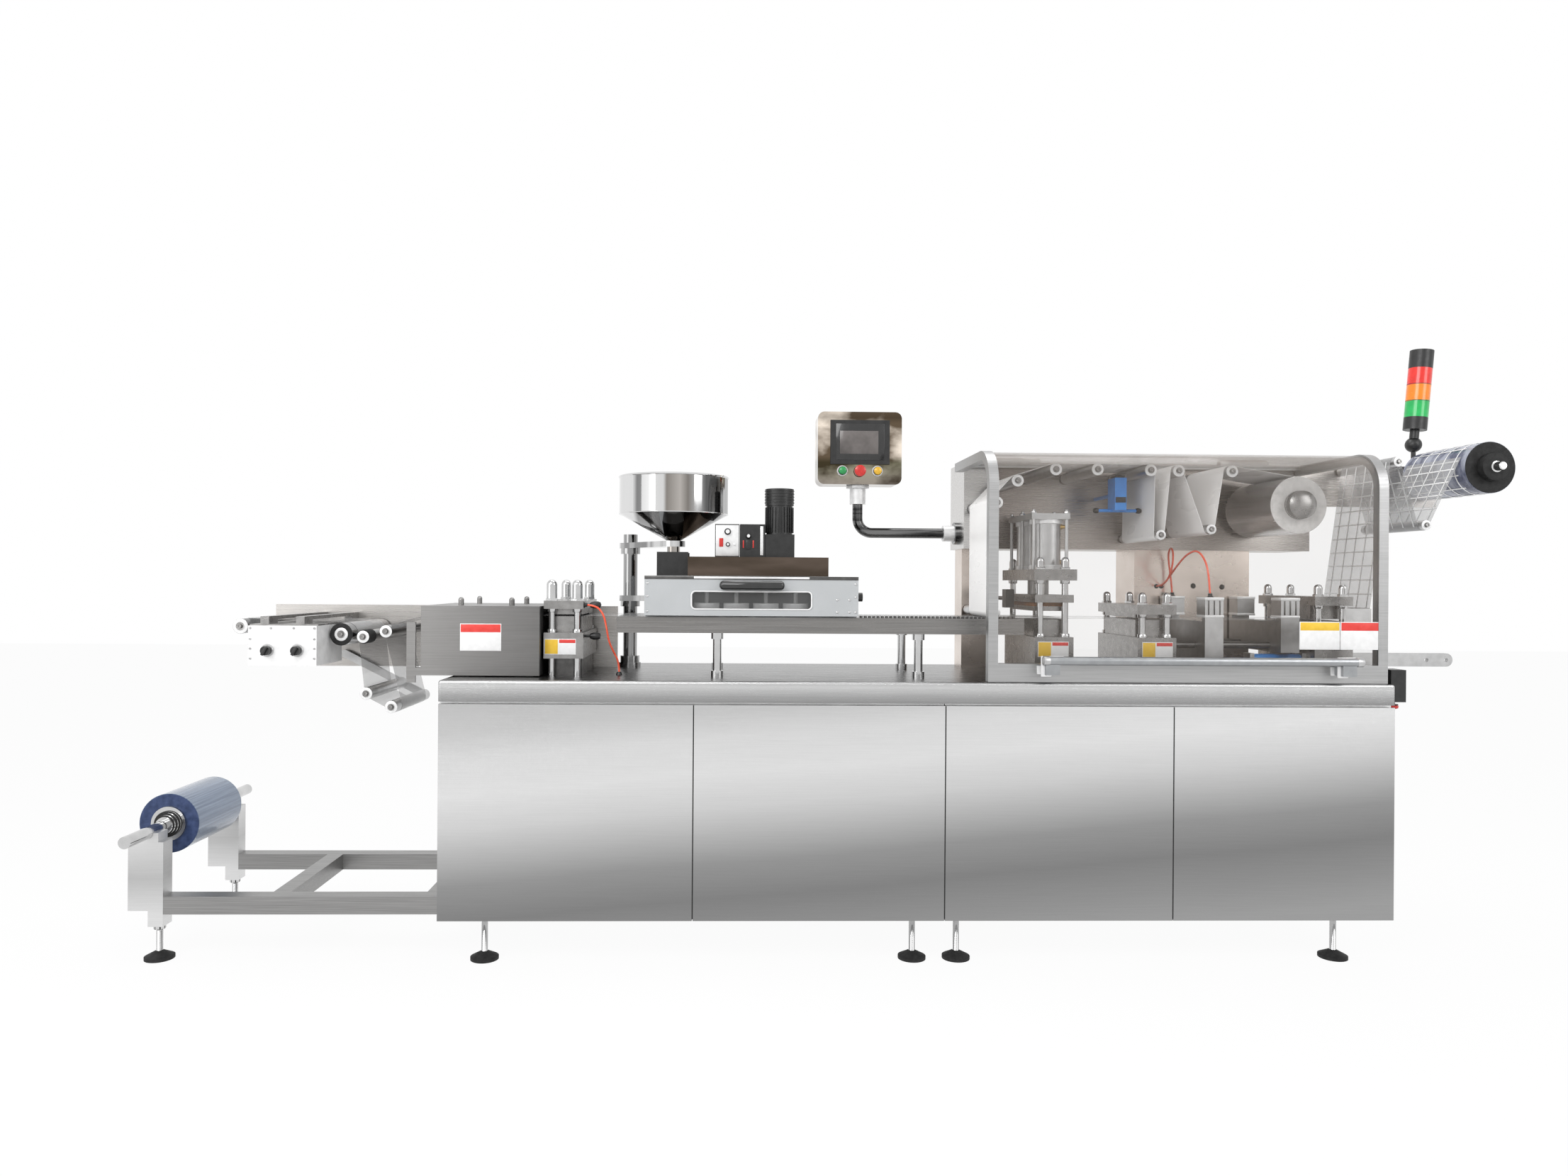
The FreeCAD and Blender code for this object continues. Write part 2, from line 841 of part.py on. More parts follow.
def infeed():
    """Back plate, switch box with a splice table, rollers and the dancer arm."""
    plate = block("infeed_left", "infeed_y", "infeed_low", "infeed_right - infeed_left",
                  "infeed_thick", "infeed_top - infeed_low")
    below = block("cabinet_left", "infeed_y", "infeed_low", "cabinet_length",
                  "infeed_thick", "table_height - infeed_low")
    node("infeed_plate", cut(plate, below))
    node("switch_box", block("control_left", "control_front", "control_bottom", "control_wide",
                             "control_deep", "control_top - control_bottom"))
    knobs = [rod("Y", f"control_left + control_wide/2 {sign} knob_pitch/2",
                 "control_front - knob_deep", "knob_height", "knob_radius", "knob_deep")
             for sign in "+-"]
    node("switch_knobs", several(*knobs))
    top = "control_top + splice_thick"
    deep = "infeed_y - control_front - splice_inset"
    pieces = [block("control_left", "control_front + splice_inset", "control_top",
                    "control_wide", deep, "splice_thick")]
    for x in ("clamp_one", "clamp_two"):
        left = f"control_left + {x}"
        pieces.append(block(left, "control_front + splice_inset", f"{top} + clamp_lift", "clamp_wide",
                            deep, "clamp_high"))
        pieces.append(block(left, "control_front + splice_inset", top, "clamp_wide",
                            "clamp_foot", "clamp_lift"))
        pieces.append(block(left, "infeed_y - clamp_foot", top, "clamp_wide",
                            "clamp_foot", "clamp_lift"))
    node("splice_table", join(*pieces))
    turning = []
    for x, z, radius in (("idler_one_x", "idler_one_z", "idler_one_radius"),
                         ("pinch_x", "pinch_z", "pinch_radius"),
                         ("idler_two_x", "idler_two_z", "idler_radius"),
                         ("idler_three_x", "idler_three_z", "idler_radius")):
        turning.append(roller(x, z, radius, "idler_front", "infeed_y"))
    node("infeed_rollers", several(*turning))
    dancer()


def dancer():
    """A flat arm behind the film with two rollers towards its free end."""
    pivot = (size("dancer_pivot_x"), size("dancer_pivot_z"))
    tip = (size("dancer_two_x"), size("dancer_two_z"))
    inner = (size("dancer_one_x"), size("dancer_one_z"))
    thick = size("dancer_arm_thick")
    half = size("dancer_arm_high") / 2
    y = size("infeed_y") - 2 * thick
    front = size("idler_front")
    across = FreeCAD.Vector(0, 1, 0)
    slope = math.degrees(math.atan2(tip[1] - pivot[1], tip[0] - pivot[0]))
    bar = Part.makeBox(math.dist(pivot, tip), thick, 2 * half, FreeCAD.Vector(0, 0, -half))
    bar.Placement = FreeCAD.Placement(FreeCAD.Vector(pivot[0], y, pivot[1]),
                                      FreeCAD.Rotation(across, -slope))
    pieces = [Part.makeCylinder(half, thick, FreeCAD.Vector(px, y, pz), across)
              for px, pz in (pivot, inner, tip)]
    pieces.append(Part.makeCylinder(size("axle_radius"), 2 * thick,
                                    FreeCAD.Vector(pivot[0], y, pivot[1]), across))
    for px, pz in (inner, tip):
        pieces.append(Part.makeCylinder(size("idler_radius"), y - front,
                                        FreeCAD.Vector(px, front, pz), across))
    arm = doc.addObject("Part::Feature", "dancer")
    arm.Shape = bar.fuse(pieces).removeSplitter()
    arm.Placement = FreeCAD.Placement()
    node("dancer", arm)


def heating():
    """Folded cover with a film slot over two heating plates on feet."""
    deep = "infeed_y - heater_front"
    high = "heater_top - heater_low"
    shell = block("heater_left", "heater_front", "heater_low", "heater_wide", deep, high)
    room = block("heater_left + cover_thick", "heater_front + cover_thick", "heater_low - cover_thick",
                 "heater_wide - 2*cover_thick", deep, high)
    slot = block("heater_left - cover_thick", "-film_wide/2 - slot_side", f"{FILM_Z} - slot_half",
                 "heater_wide + 2*cover_thick", "film_wide + 2*slot_side", "2*slot_half")
    strap = join(block("strap_left", "heater_front", "strap_low", "strap_wide", "strap_thick",
                       "strap_top - strap_low"),
                 block("strap_left", "heater_front", "heater_low", "heater_left - strap_left",
                       "strap_foot", "strap_foot"),
                 rod("Y", "strap_left + strap_wide/2", "heater_front",
                     "strap_top - strap_wide/2", "axle_radius", "infeed_y - heater_front"))
    domes = []
    for x in ("heater_left + cover_cap_one", "heater_left + cover_cap_two"):
        for y in ("-cover_cap_y", "cover_cap_y"):
            domes.append(rod("Z", x, y, "heater_top", "cover_cap_radius", "cover_cap_high"))
            domes.append(ball(x, y, "heater_top + cover_cap_high", "cover_cap_radius"))
    node("heating_cover", join(cut(shell, room, slot), strap, *domes))
    x = "heater_left + heater_inset"
    wide = "heater_wide - 2*heater_inset"
    y = "-film_wide/2"
    plate_deep = "infeed_y + film_wide/2"
    low = f"{FILM_Z} - heater_gap - heater_plate_high"
    feet_x = ("cabinet_left + heater_inset", "heater_left + heater_wide - heater_inset - heater_foot")
    lower = join(block(x, y, low, wide, plate_deep, "heater_plate_high"),
                 *[block(fx, y, "table_height", "heater_foot", plate_deep, f"{low} - table_height")
                   for fx in feet_x])
    upper = block(x, y, f"{FILM_Z} + heater_gap", wide, plate_deep, "heater_upper_high")
    node("heating_plates", several(lower, upper))


def columns(x, low, top):
    """Four round columns of a press between two heights."""
    posts = []
    for across in "-+":
        for side in "-+":
            posts.append(rod("Z", f"{x} {across} column_pitch_x/2", f"0 {side} column_pitch_y/2",
                             low, "column_radius", f"{top} - {low}"))
    return posts


def caps(x, base, radius, high):
    """Four dome nuts on a station's top plate."""
    domes = []
    for across in "-+":
        for side in "-+":
            px = f"{x} {across} column_pitch_x/2"
            py = f"0 {side} column_pitch_y/2"
            domes.append(join(rod("Z", px, py, base, radius, f"{high} - {radius}"),
                              ball(px, py, f"{base} + {high} - {radius}", radius)))
    return domes


def pierced(item, x, low, high):
    """Column holes through a block or plate."""
    holes = []
    for across in "-+":
        for side in "-+":
            holes.append(rod("Z", f"{x} {across} column_pitch_x/2", f"0 {side} column_pitch_y/2",
                             low, "column_radius + clearance", high))
    return cut(item, *holes)


def forming():
    """Forming press: columns through a raised block, a top plate and two dies."""
    left = "forming_x - press_wide/2"
    front = "-press_deep/2"
    die_left = "forming_x - die_wide/2"
    high = "forming_block_top - forming_block_low"
    body = pierced(block(left, front, "forming_block_low", "press_wide", "press_deep", high),
                   "forming_x", "forming_block_low", high)
    lower = block(die_left, "-film_wide/2", "forming_block_top", "die_wide", "film_wide",
                  f"{FILM_Z} - die_gap - forming_block_top")
    plate = block(left, front, "forming_plate_low", "press_wide", "press_deep",
                  "forming_plate_top - forming_plate_low")
    upper = block(die_left, "-film_wide/2", f"{FILM_Z} + die_gap", "die_wide", "film_wide",
                  f"forming_plate_low - {FILM_Z} - die_gap")
    node("forming_base", block(die_left, "-film_wide/2", "table_height", "die_wide", "film_wide",
                               "forming_block_low - table_height"))
    posts = columns("forming_x", "table_height", "forming_plate_low")
    domes = caps("forming_x", "forming_plate_top", "forming_cap_radius", "forming_cap_high")
    return join(body, lower), posts + domes, join(plate, upper)


def sealing():
    """Heat sealing press with two air cylinders over a sliding platen."""
    x = "sealing_x"
    left = f"{x} - press_wide/2"
    front = "-press_deep/2"
    die_left = f"{x} - die_wide/2"
    base = block(left, front, "table_height", "press_wide", "press_deep",
                 "press_block_top - table_height")
    lower = block(die_left, "-film_wide/2", "press_block_top", "die_wide", "film_wide",
                  f"{FILM_Z} - die_gap - press_block_top")
    head = block(f"{x} - crosshead_wide/2", "-press_deep/2 - crosshead_over", "crosshead_low",
                 "crosshead_wide", "press_deep + 2*crosshead_over", "crosshead_top - crosshead_low")
    bores = [rod("Z", x, f"0 {side} cylinder_pitch/2", "crosshead_low", "ram_radius + clearance",
                 "crosshead_top - crosshead_low") for side in "-+"]
    posts = columns(x, "press_block_top", "crosshead_low")
    domes = caps(x, "crosshead_top", "cap_radius", "cap_high")
    barrels = [rod("Z", x, f"0 {side} cylinder_pitch/2", "crosshead_top", "cylinder_radius",
                   "cylinder_high") for side in "-+"]
    top = block(f"{x} - press_wide/2", "-cylinder_pitch/2 - cylinder_radius - cylinder_rim",
                "crosshead_top + cylinder_high", "press_wide",
                "cylinder_pitch + 2*cylinder_radius + 2*cylinder_rim", "cylinder_cap")
    ties = []
    for across in "-+":
        for y in ("-cylinder_pitch/2 - cylinder_radius", "0", "cylinder_pitch/2 + cylinder_radius"):
            ties.append(rod("Z", f"{x} {across} (press_wide/2 - cylinder_rim)", y, "crosshead_top",
                            "tie_radius", "cylinder_high"))
    node("sealing_cylinders", join(top, *barrels, *ties))
    plate = pierced(block(left, front, "platen_low", "press_wide", "press_deep", "platen_high"),
                    x, "platen_low", "platen_high")
    rams = [rod("Z", x, f"0 {side} cylinder_pitch/2", "platen_low + platen_high", "ram_radius",
                "crosshead_top - platen_low - platen_high - ram_gap") for side in "-+"]
    heater = block(die_left, "-film_wide/2", "platen_low - heater_head", "die_wide", "film_wide",
                   "heater_head")
    node("sealing_platen", join(plate, heater, *rams))
    return join(base, lower), posts + domes, cut(head, *bores)


def station(x, plate_low, plate_high):
    """Small press: block on the table, columns, a top plate and dome nuts."""
    left = f"{x} - press_wide/2"
    front = "-press_deep/2"
    base = block(left, front, "table_height", "press_wide", "press_deep",
                 "press_block_top - table_height")
    die_left = f"{x} - die_wide/2"
    lower = block(die_left, "-film_wide/2", "press_block_top", "die_wide", "film_wide",
                  f"{FILM_Z} - die_gap - press_block_top")
    plate = block(left, front, plate_low, "press_wide", "press_deep", plate_high)
    upper = block(die_left, "-film_wide/2", f"{FILM_Z} + die_gap", "die_wide", "film_wide",
                  f"{plate_low} - {FILM_Z} - die_gap")
    posts = columns(x, "press_block_top", plate_low)
    domes = caps(x, f"{plate_low} + {plate_high}", "cap_radius", "cap_high")
    return join(base, lower), posts + domes, join(plate, upper)


def presses():
    """The four presses share nodes for their blocks, columns and top plates."""
    made = [forming(), sealing(),
            station("embossing_x", "station_plate_low", "station_plate_high"),
            station("punch_x", "punch_plate_low", "punch_plate_high")]
    node("press_blocks", several(*[blocks for blocks, posts, plates in made]))
    node("press_columns", several(*[post for blocks, posts, plates in made for post in posts]))
    node("press_plates", several(*[plates for blocks, posts, plates in made]))


def stand():
    """Chrome column behind the track with arms for the hopper and the feeder."""
    column = join(rod("Z", "stand_x", "stand_y", "table_height", "stand_radius",
                      "stand_top - table_height"),
                  rod("Z", "stand_x", "stand_y", "table_height", "stand_base_radius", "stand_base_high"),
                  rod("Z", "stand_x", "stand_y", "table_height + stand_base_high",
                      "stand_collar", "stand_collar_high"))
    reach = math.hypot(size("hopper_x") - size("stand_x"), size("stand_y"))
    heading = math.degrees(math.atan2(-size("stand_y"), size("hopper_x") - size("stand_x")))
    collar = size("stand_collar")
    high = size("arm_high")
    bar = Part.makeBox(reach, 2 * collar, high, FreeCAD.Vector(0, -collar, 0))
    rings = [Part.makeCylinder(size("stand_base_radius"), high),
             Part.makeCylinder(size("stand_base_radius"), high, FreeCAD.Vector(reach, 0, 0)),
             Part.makeCylinder(collar, 2 * high, FreeCAD.Vector(0, 0, -high))]
    hole = Part.makeCylinder(size("hopper_neck") + size("clearance"), 3 * high,
                             FreeCAD.Vector(reach, 0, -high))
    arm = doc.addObject("Part::Feature", "hopper_arm")
    arm.Shape = bar.fuse(rings).removeSplitter().cut(hole)
    arm.Placement = FreeCAD.Placement(
        FreeCAD.Vector(size("stand_x"), size("stand_y"), size("arm_low")),
        FreeCAD.Rotation(FreeCAD.Vector(0, 0, 1), heading))
    back = "(feeder_front + feeder_deep)"
    lower = join(block("stand_x - stand_collar", "stand_y - stand_collar", "lower_arm_z",
                       "feeder_left - stand_x + 2*stand_collar", "2*stand_collar", "arm_high"),
                 rod("Z", "stand_x", "stand_y", "lower_arm_z - arm_high", "stand_collar",
                     "2*arm_high"),
                 block("feeder_left", back, "lower_arm_z", "stand_collar",
                       f"stand_y - {back}", "arm_high"))
    node("hopper_stand", join(column, arm, lower))


def hopper():
    """A thin spun bowl, cone and spout, open at both ends, over a short chute."""
    neck = "hopper_neck_z - hopper_spout_z"
    shoulder = "hopper_shoulder - hopper_spout_z"
    top = "hopper_top - hopper_spout_z"
    inner = "hopper_radius - hopper_wall"
    throat = "hopper_neck - hopper_wall"
    shape = [(throat, "0"), ("hopper_neck", "0"), ("hopper_neck", neck),
             ("hopper_radius", shoulder), ("hopper_radius", top), (inner, top),
             (inner, f"{shoulder} + hopper_wall/2"), (throat, f"{neck} + hopper_wall/2")]
    node("hopper", turned("hopper_x", "0", "hopper_spout_z", shape))
    low = "(feeder_top + lid_thick)"
    shell = block("chute_left", "-chute_deep/2", low, "chute_wide", "chute_deep",
                  f"drive_top + chute_rise - {low}")
    room = block("chute_left + cover_thick", "cover_thick - chute_deep/2", f"{low} + cover_thick",
                 "chute_wide", "chute_deep - 2*cover_thick", f"drive_top + chute_rise - feeder_top")
    node("chute", cut(shell, room))


def feeder():
    """Brush feeder over the track: housing with a window, drive, motor and controls."""
    high = "feeder_top - feeder_low"
    shell = block("feeder_left", "feeder_front", "feeder_low", "feeder_length", "feeder_deep", high)
    room = block("feeder_left + feeder_wall", "feeder_front + feeder_wall",
                 "feeder_low - feeder_wall", "feeder_length - 2*feeder_wall",
                 "feeder_deep - 2*feeder_wall", high)
    window = block("window_left", "feeder_front - feeder_wall", "window_low", "window_wide",
                   "3*feeder_wall", "window_high")
    lid = block("feeder_left", "feeder_front", "feeder_top", "feeder_length", "feeder_deep",
                "lid_thick")
    skids = [block("feeder_left", y, TRACK_TOP, "feeder_length", "skid_wide",
                   f"feeder_low + skid_lap - {TRACK_TOP}")
             for y in ("-skid_place - skid_wide", "skid_place")]
    node("feeder_housing", join(cut(shell, room, window), lid, *skids))
    node("feeder_window", block("window_left - window_lap", "feeder_front + feeder_wall",
                                "window_low - window_lap", "window_wide + 2*window_lap",
                                "feeder_wall", "window_high + 2*window_lap"))
    grip_y = "feeder_front - handle_deep + handle_high/2"
    grip_z = "handle_low + handle_high/2"
    stems = [rod("Y", x, grip_y, grip_z, "handle_stem", "handle_deep - handle_high/2")
             for x in ("handle_left + handle_high/2", "handle_left + handle_wide - handle_high/2")]
    knob = rod("X", "feeder_left + feeder_length", "feeder_knob_y", "feeder_knob_z",
               "knob_radius", "knob_deep")
    node("feeder_handle", several(join(rod("X", "handle_left", grip_y, grip_z, "handle_high/2",
                                           "handle_wide"), *stems), knob))
    brushes = []
    for number in range(BRUSHES):
        x = f"window_left + window_wide/2 + ({number} - {BRUSHES - 1}/2)*brush_pitch"
        y = "feeder_front + 2*feeder_wall + brush_margin + brush_radius"
        low = f"({FILM_Z} + brush_lift)"
        brushes.append(join(rod("Z", x, y, low, "brush_radius", "brush_high"),
                            rod("Z", x, y, low, "brush_axle", f"feeder_top - feeder_wall - {low}")))
    node("feeder_brushes", several(*brushes))
    node("drive_box", block("drive_left", "drive_front", "feeder_top + lid_thick", "drive_wide",
                            "drive_deep", "drive_top - feeder_top - lid_thick"))
    y = "drive_front + panel_set_back"
    node("speed_controls", several(
        block("panel_left", y, "drive_top", "panel_wide", "panel_deep", "panel_high"),
        block("panel_left + panel_wide + door_gap", y, "drive_top", "speed_wide", "panel_deep",
              "panel_high")))
    middle = "motor_left + motor_wide/2"
    middle_y = f"{y} + motor_wide/2"
    shoulder = "drive_top + gearbox_high"
    node("feeder_motor", join(
        block("motor_left", y, "drive_top", "motor_wide", "motor_wide", "gearbox_high"),
        rod("Z", middle, middle_y, shoulder, "motor_radius", "motor_high"),
        rod("Z", middle, middle_y, f"{shoulder} + motor_high", "motor_wide/2", "motor_cap_high")))


def track():
    """Long guide track on four legs with collars."""
    low = f"({TRACK_TOP} - track_high)"
    node("guide_track", block("track_left", "-track_deep/2", low,
                              "sealing_x - press_wide/2 - track_gap - track_left", "track_deep",
                              "track_high"))
    legs = []
    for x in ("track_leg_one", "track_leg_two"):
        for side in "-+":
            y = f"0 {side} column_pitch_y/2"
            legs.append(join(rod("Z", x, y, "table_height", "track_leg_radius",
                                 f"{low} - table_height"),
                             rod("Z", x, y, "table_height", "track_collar_radius",
                                 "track_collar_high"),
                             rod("Z", x, y, f"{low} - track_collar_high", "track_collar_radius",
                                 "track_collar_high")))
    node("track_legs", several(*legs))


def operator_panel():
    """Touch panel box that turns on a bent tube from the back structure."""
    front = "hmi_y - hmi_deep/2"
    corners = [("0", "0"), ("hmi_wide", "0"), ("hmi_wide", "hmi_high"), ("0", "hmi_high")]
    box = profile("XZ", "hmi_x - hmi_wide/2", front, "hmi_low", corners, "hmi_deep")
    rounded(box, lambda e: along(e, "y"), "hmi_corner")
    neck = rod("Z", "hmi_x", "hmi_y", "hmi_joint_z + clearance", "hmi_hub_radius",
               "hmi_low - hmi_joint_z - clearance")
    node("panel_box", join(box, neck))
    bezel = block("hmi_x - bezel_wide/2", f"{front} - bezel_thick",
                  "hmi_low + hmi_high - bezel_high - bezel_drop", "bezel_wide", "bezel_thick",
                  "bezel_high")
    buttons = [rod("Y", f"hmi_x + ({number} - 1)*button_pitch", f"{front} - button_deep",
                   "hmi_low + button_height", "button_radius", "button_deep")
               for number in range(BUTTONS)]
    node("panel_controls", several(bezel, *buttons))
    radius = size("hmi_tube_radius")
    x, y, z = size("hmi_x"), size("hmi_y"), size("hmi_tube_z")
    bend = size("hmi_bend")
    top = size("hmi_joint_z")
    end = size("beam_left")
    inset = bend - bend * math.sqrt(0.5)
    corner = FreeCAD.Vector(x + inset, y, z + inset)
    start, finish = FreeCAD.Vector(x, y, z + bend), FreeCAD.Vector(x + bend, y, z)
    path = Part.Wire([Part.makeLine(FreeCAD.Vector(x, y, top), start),
                      Part.Arc(start, corner, finish).toShape(),
                      Part.makeLine(finish, FreeCAD.Vector(end, y, z))])
    ring = Part.Wire([Part.makeCircle(radius, FreeCAD.Vector(x, y, top), FreeCAD.Vector(0, 0, -1))])
    tube = path.makePipeShell([ring], True, False)
    along_x = FreeCAD.Vector(1, 0, 0)
    thick = size("arm_flange_thick")
    flange = Part.makeCylinder(size("arm_flange_radius"), thick,
                               FreeCAD.Vector(end - thick, y, z), along_x)
    sleeve = Part.makeCylinder(size("hmi_hub_radius"), size("arm_sleeve"),
                               FreeCAD.Vector(end - size("arm_sleeve"), y, z), along_x)
    arm = doc.addObject("Part::Feature", "panel_arm")
    arm.Shape = tube.fuse([flange, sleeve]).removeSplitter()
    arm.Placement = FreeCAD.Placement()
    node("panel_arm", arm)


def back_structure():
    """Hollow sheet beam on two legs, with a wing that carries the waste reel."""
    high = "beam_top - beam_low"
    shell = block("beam_left", "beam_front", "beam_low", "beam_length", "beam_deep", high)
    room = block("beam_left + beam_sheet", "beam_front + beam_sheet", "beam_low + beam_sheet",
                 "beam_length - 2*beam_sheet", "beam_deep - 2*beam_sheet",
                 f"{high} - 2*beam_sheet")
    right = "(beam_left + beam_length)"
    wing = block(right, "beam_front", "wing_low", f"wing_right - {right}", "wing_thick",
                 "beam_top - wing_low")
    knuckles = [rod("X", f"hood_left + {x}", "hinge_y", "hinge_z", "hinge_radius", "hinge_length")
                for x in ("hinge_inset", "hood_length - hinge_inset - hinge_length")]
    leaves = [block(f"hood_left + {x}", "beam_front + beam_sheet", "beam_top", "hinge_length",
                    "hinge_y - beam_front - beam_sheet", "hinge_z - beam_top")
              for x in ("hinge_inset", "hood_length - hinge_inset - hinge_length")]
    node("back_beam", join(cut(shell, room), wing, *knuckles, *leaves))
    node("beam_legs", several(
        block("pedestal_left", "beam_front + leg_inset", "table_height", "pedestal_wide",
              "pedestal_deep", "beam_low - table_height"),
        block("beam_left + leg_inset", "leg_y", "table_height", "leg_wide", "leg_deep",
              "beam_low - table_height")))


def hood():
    """Clear guard with rounded end arches, hinged along the beam's top edge."""
    bottom = size("table_height") + size("hood_lift")
    top = size("hood_top")
    front = size("hood_front")
    back = size("beam_front") - size("hood_gap")
    bar = size("hood_bar")
    corner = size("hood_corner")

    def bent(inset):
        """Half section of the guard: up the front, round the corner and back."""
        low = FreeCAD.Vector(0, front + inset, bottom)
        rise = FreeCAD.Vector(0, front + inset, top - corner)
        radius = corner - inset
        middle = FreeCAD.Vector(0, front + corner - radius * math.sqrt(0.5),
                                top - corner + radius * math.sqrt(0.5))
        over = FreeCAD.Vector(0, front + corner, top - inset)
        end = FreeCAD.Vector(0, back, top - inset)
        return [Part.makeLine(low, rise), Part.Arc(rise, middle, over).toShape(),
                Part.makeLine(over, end)], low, end

    def section(near, far):
        """The area between two such lines."""
        outer, outer_low, outer_end = bent(near)
        inner, inner_low, inner_end = bent(far)
        ends = [Part.makeLine(outer_low, inner_low), Part.makeLine(outer_end, inner_end)]
        return Part.Face(Part.Wire(Part.__sortEdges__(outer + inner + ends)))

    left, length = size("hood_left"), size("hood_length")
    sill_high = size("hood_sill")
    face = section(0, bar)
    arches = []
    for x in (left, left + length - bar):
        arch = face.extrude(FreeCAD.Vector(bar, 0, 0))
        arch.translate(FreeCAD.Vector(x, 0, 0))
        arches.append(arch)
    inner = length - 2 * bar
    sill = Part.makeBox(inner, bar, sill_high, FreeCAD.Vector(left + bar, front, bottom))
    rear_high = size("hood_rear")
    rear = Part.makeBox(inner, bar, rear_high, FreeCAD.Vector(left + bar, back - bar, top - rear_high))
    deep = size("leaf_deep")
    reach = size("hinge_y") - size("hinge_radius") - size("clearance") - deep
    leaves = [Part.makeBox(size("hinge_length"), deep, size("hinge_z") - top,
                           FreeCAD.Vector(left + x, reach, top))
              for x in (size("hinge_inset"), length - size("hinge_inset") - size("hinge_length"))]
    frame = doc.addObject("Part::Feature", "hood_frame")
    frame.Shape = arches[0].fuse([arches[1], sill, rear] + leaves).removeSplitter()
    frame.Placement = FreeCAD.Placement()
    node("hood_frame", frame)
    inset = size("glass_inset")
    pane = section(inset, inset + size("hood_glass")).extrude(FreeCAD.Vector(inner, 0, 0))
    pane.translate(FreeCAD.Vector(left + bar, 0, 0))
    below = Part.makeBox(length, 3 * bar, sill_high, FreeCAD.Vector(left, front - bar, bottom))
    behind = Part.makeBox(length, 2 * bar, rear_high, FreeCAD.Vector(left, back - bar, top - rear_high))
    item = doc.addObject("Part::Feature", "hood_glass")
    item.Shape = pane.cut(below).cut(behind)
    item.Placement = FreeCAD.Placement()
    node("hood_glass", item)
    brackets = []
    for x in ("grip_left + grip_end", "grip_left + grip_length - grip_end - bracket_wide"):
        brackets.append(block(x, "grip_y", "grip_z - bracket_high", "bracket_wide",
                              "hood_front - grip_y", "bracket_high - grip_radius/2"))
        brackets.append(block(x, "grip_y - grip_radius/2", "grip_z - bracket_high", "bracket_wide",
                              "grip_radius", "bracket_high"))
    node("hood_grip", join(rod("X", "grip_left", "grip_y", "grip_z", "grip_radius", "grip_length"),
                           *brackets))


def foil_line():
    """Guide rollers, foil reel and waste reel on the back structure."""
    made = [roller(x, z, radius, "roller_front", "beam_front") for x, z, radius, turn in GUIDES]
    made.append(roller("waste_high_x", "waste_high_z", "small_radius", "roller_front", "beam_front"))
    made.append(roller("foil_turn_x", f"{FILM_Z} + film_thick + 2*clearance + small_radius",
                       "small_radius", "roller_front", "leg_y"))
    start = "(punch_x + press_wide/2 - turn_plate)"
    plates = [block(start, y, "press_block_top", f"turn_x + small_radius - {start}", "turn_plate",
                    "exit_plate_high") for y in ("-turn_side - turn_plate", "turn_side")]
    made.append(join(rod("Y", "turn_x", "-turn_side", f"{FILM_Z} + clearance + small_radius",
                         "small_radius", "2*turn_side"), *plates))
    front = "beam_front - wing_thick"
    corners = [("0", "-swing_half"), ("swing_reach", "swing_rise - swing_half"),
               ("swing_reach", "swing_rise + swing_half"), ("0", "swing_half")]
    made.append(join(
        roller("waste_low_x", "waste_low_z", "small_radius", "roller_front", front),
        profile("XZ", "waste_low_x", front, "waste_low_z", corners, "wing_thick"),
        rod("Y", "waste_low_x", front, "waste_low_z", "swing_half", "wing_thick"),
        rod("Y", "waste_low_x + swing_reach", front, "waste_low_z + swing_rise", "swing_half",
            "wing_thick")))
    node("guide_rollers", several(*made))
    reels = (("foil_roll", "foil_x", "foil_z", "foil_radius", "foil_length"),
             ("waste_roll", "waste_x", "waste_z", "waste_radius", "waste_length"))
    for name, x, z, radius, length in reels:
        node(name, join(
            rod("Y", x, "reel_front", z, radius, length),
            rod("Y", x, "reel_front - chuck_long", z, "chuck_radius", "chuck_long"),
            rod("Y", x, "reel_front", z, "spindle_radius",
                "beam_front - reel_front - clearance")))


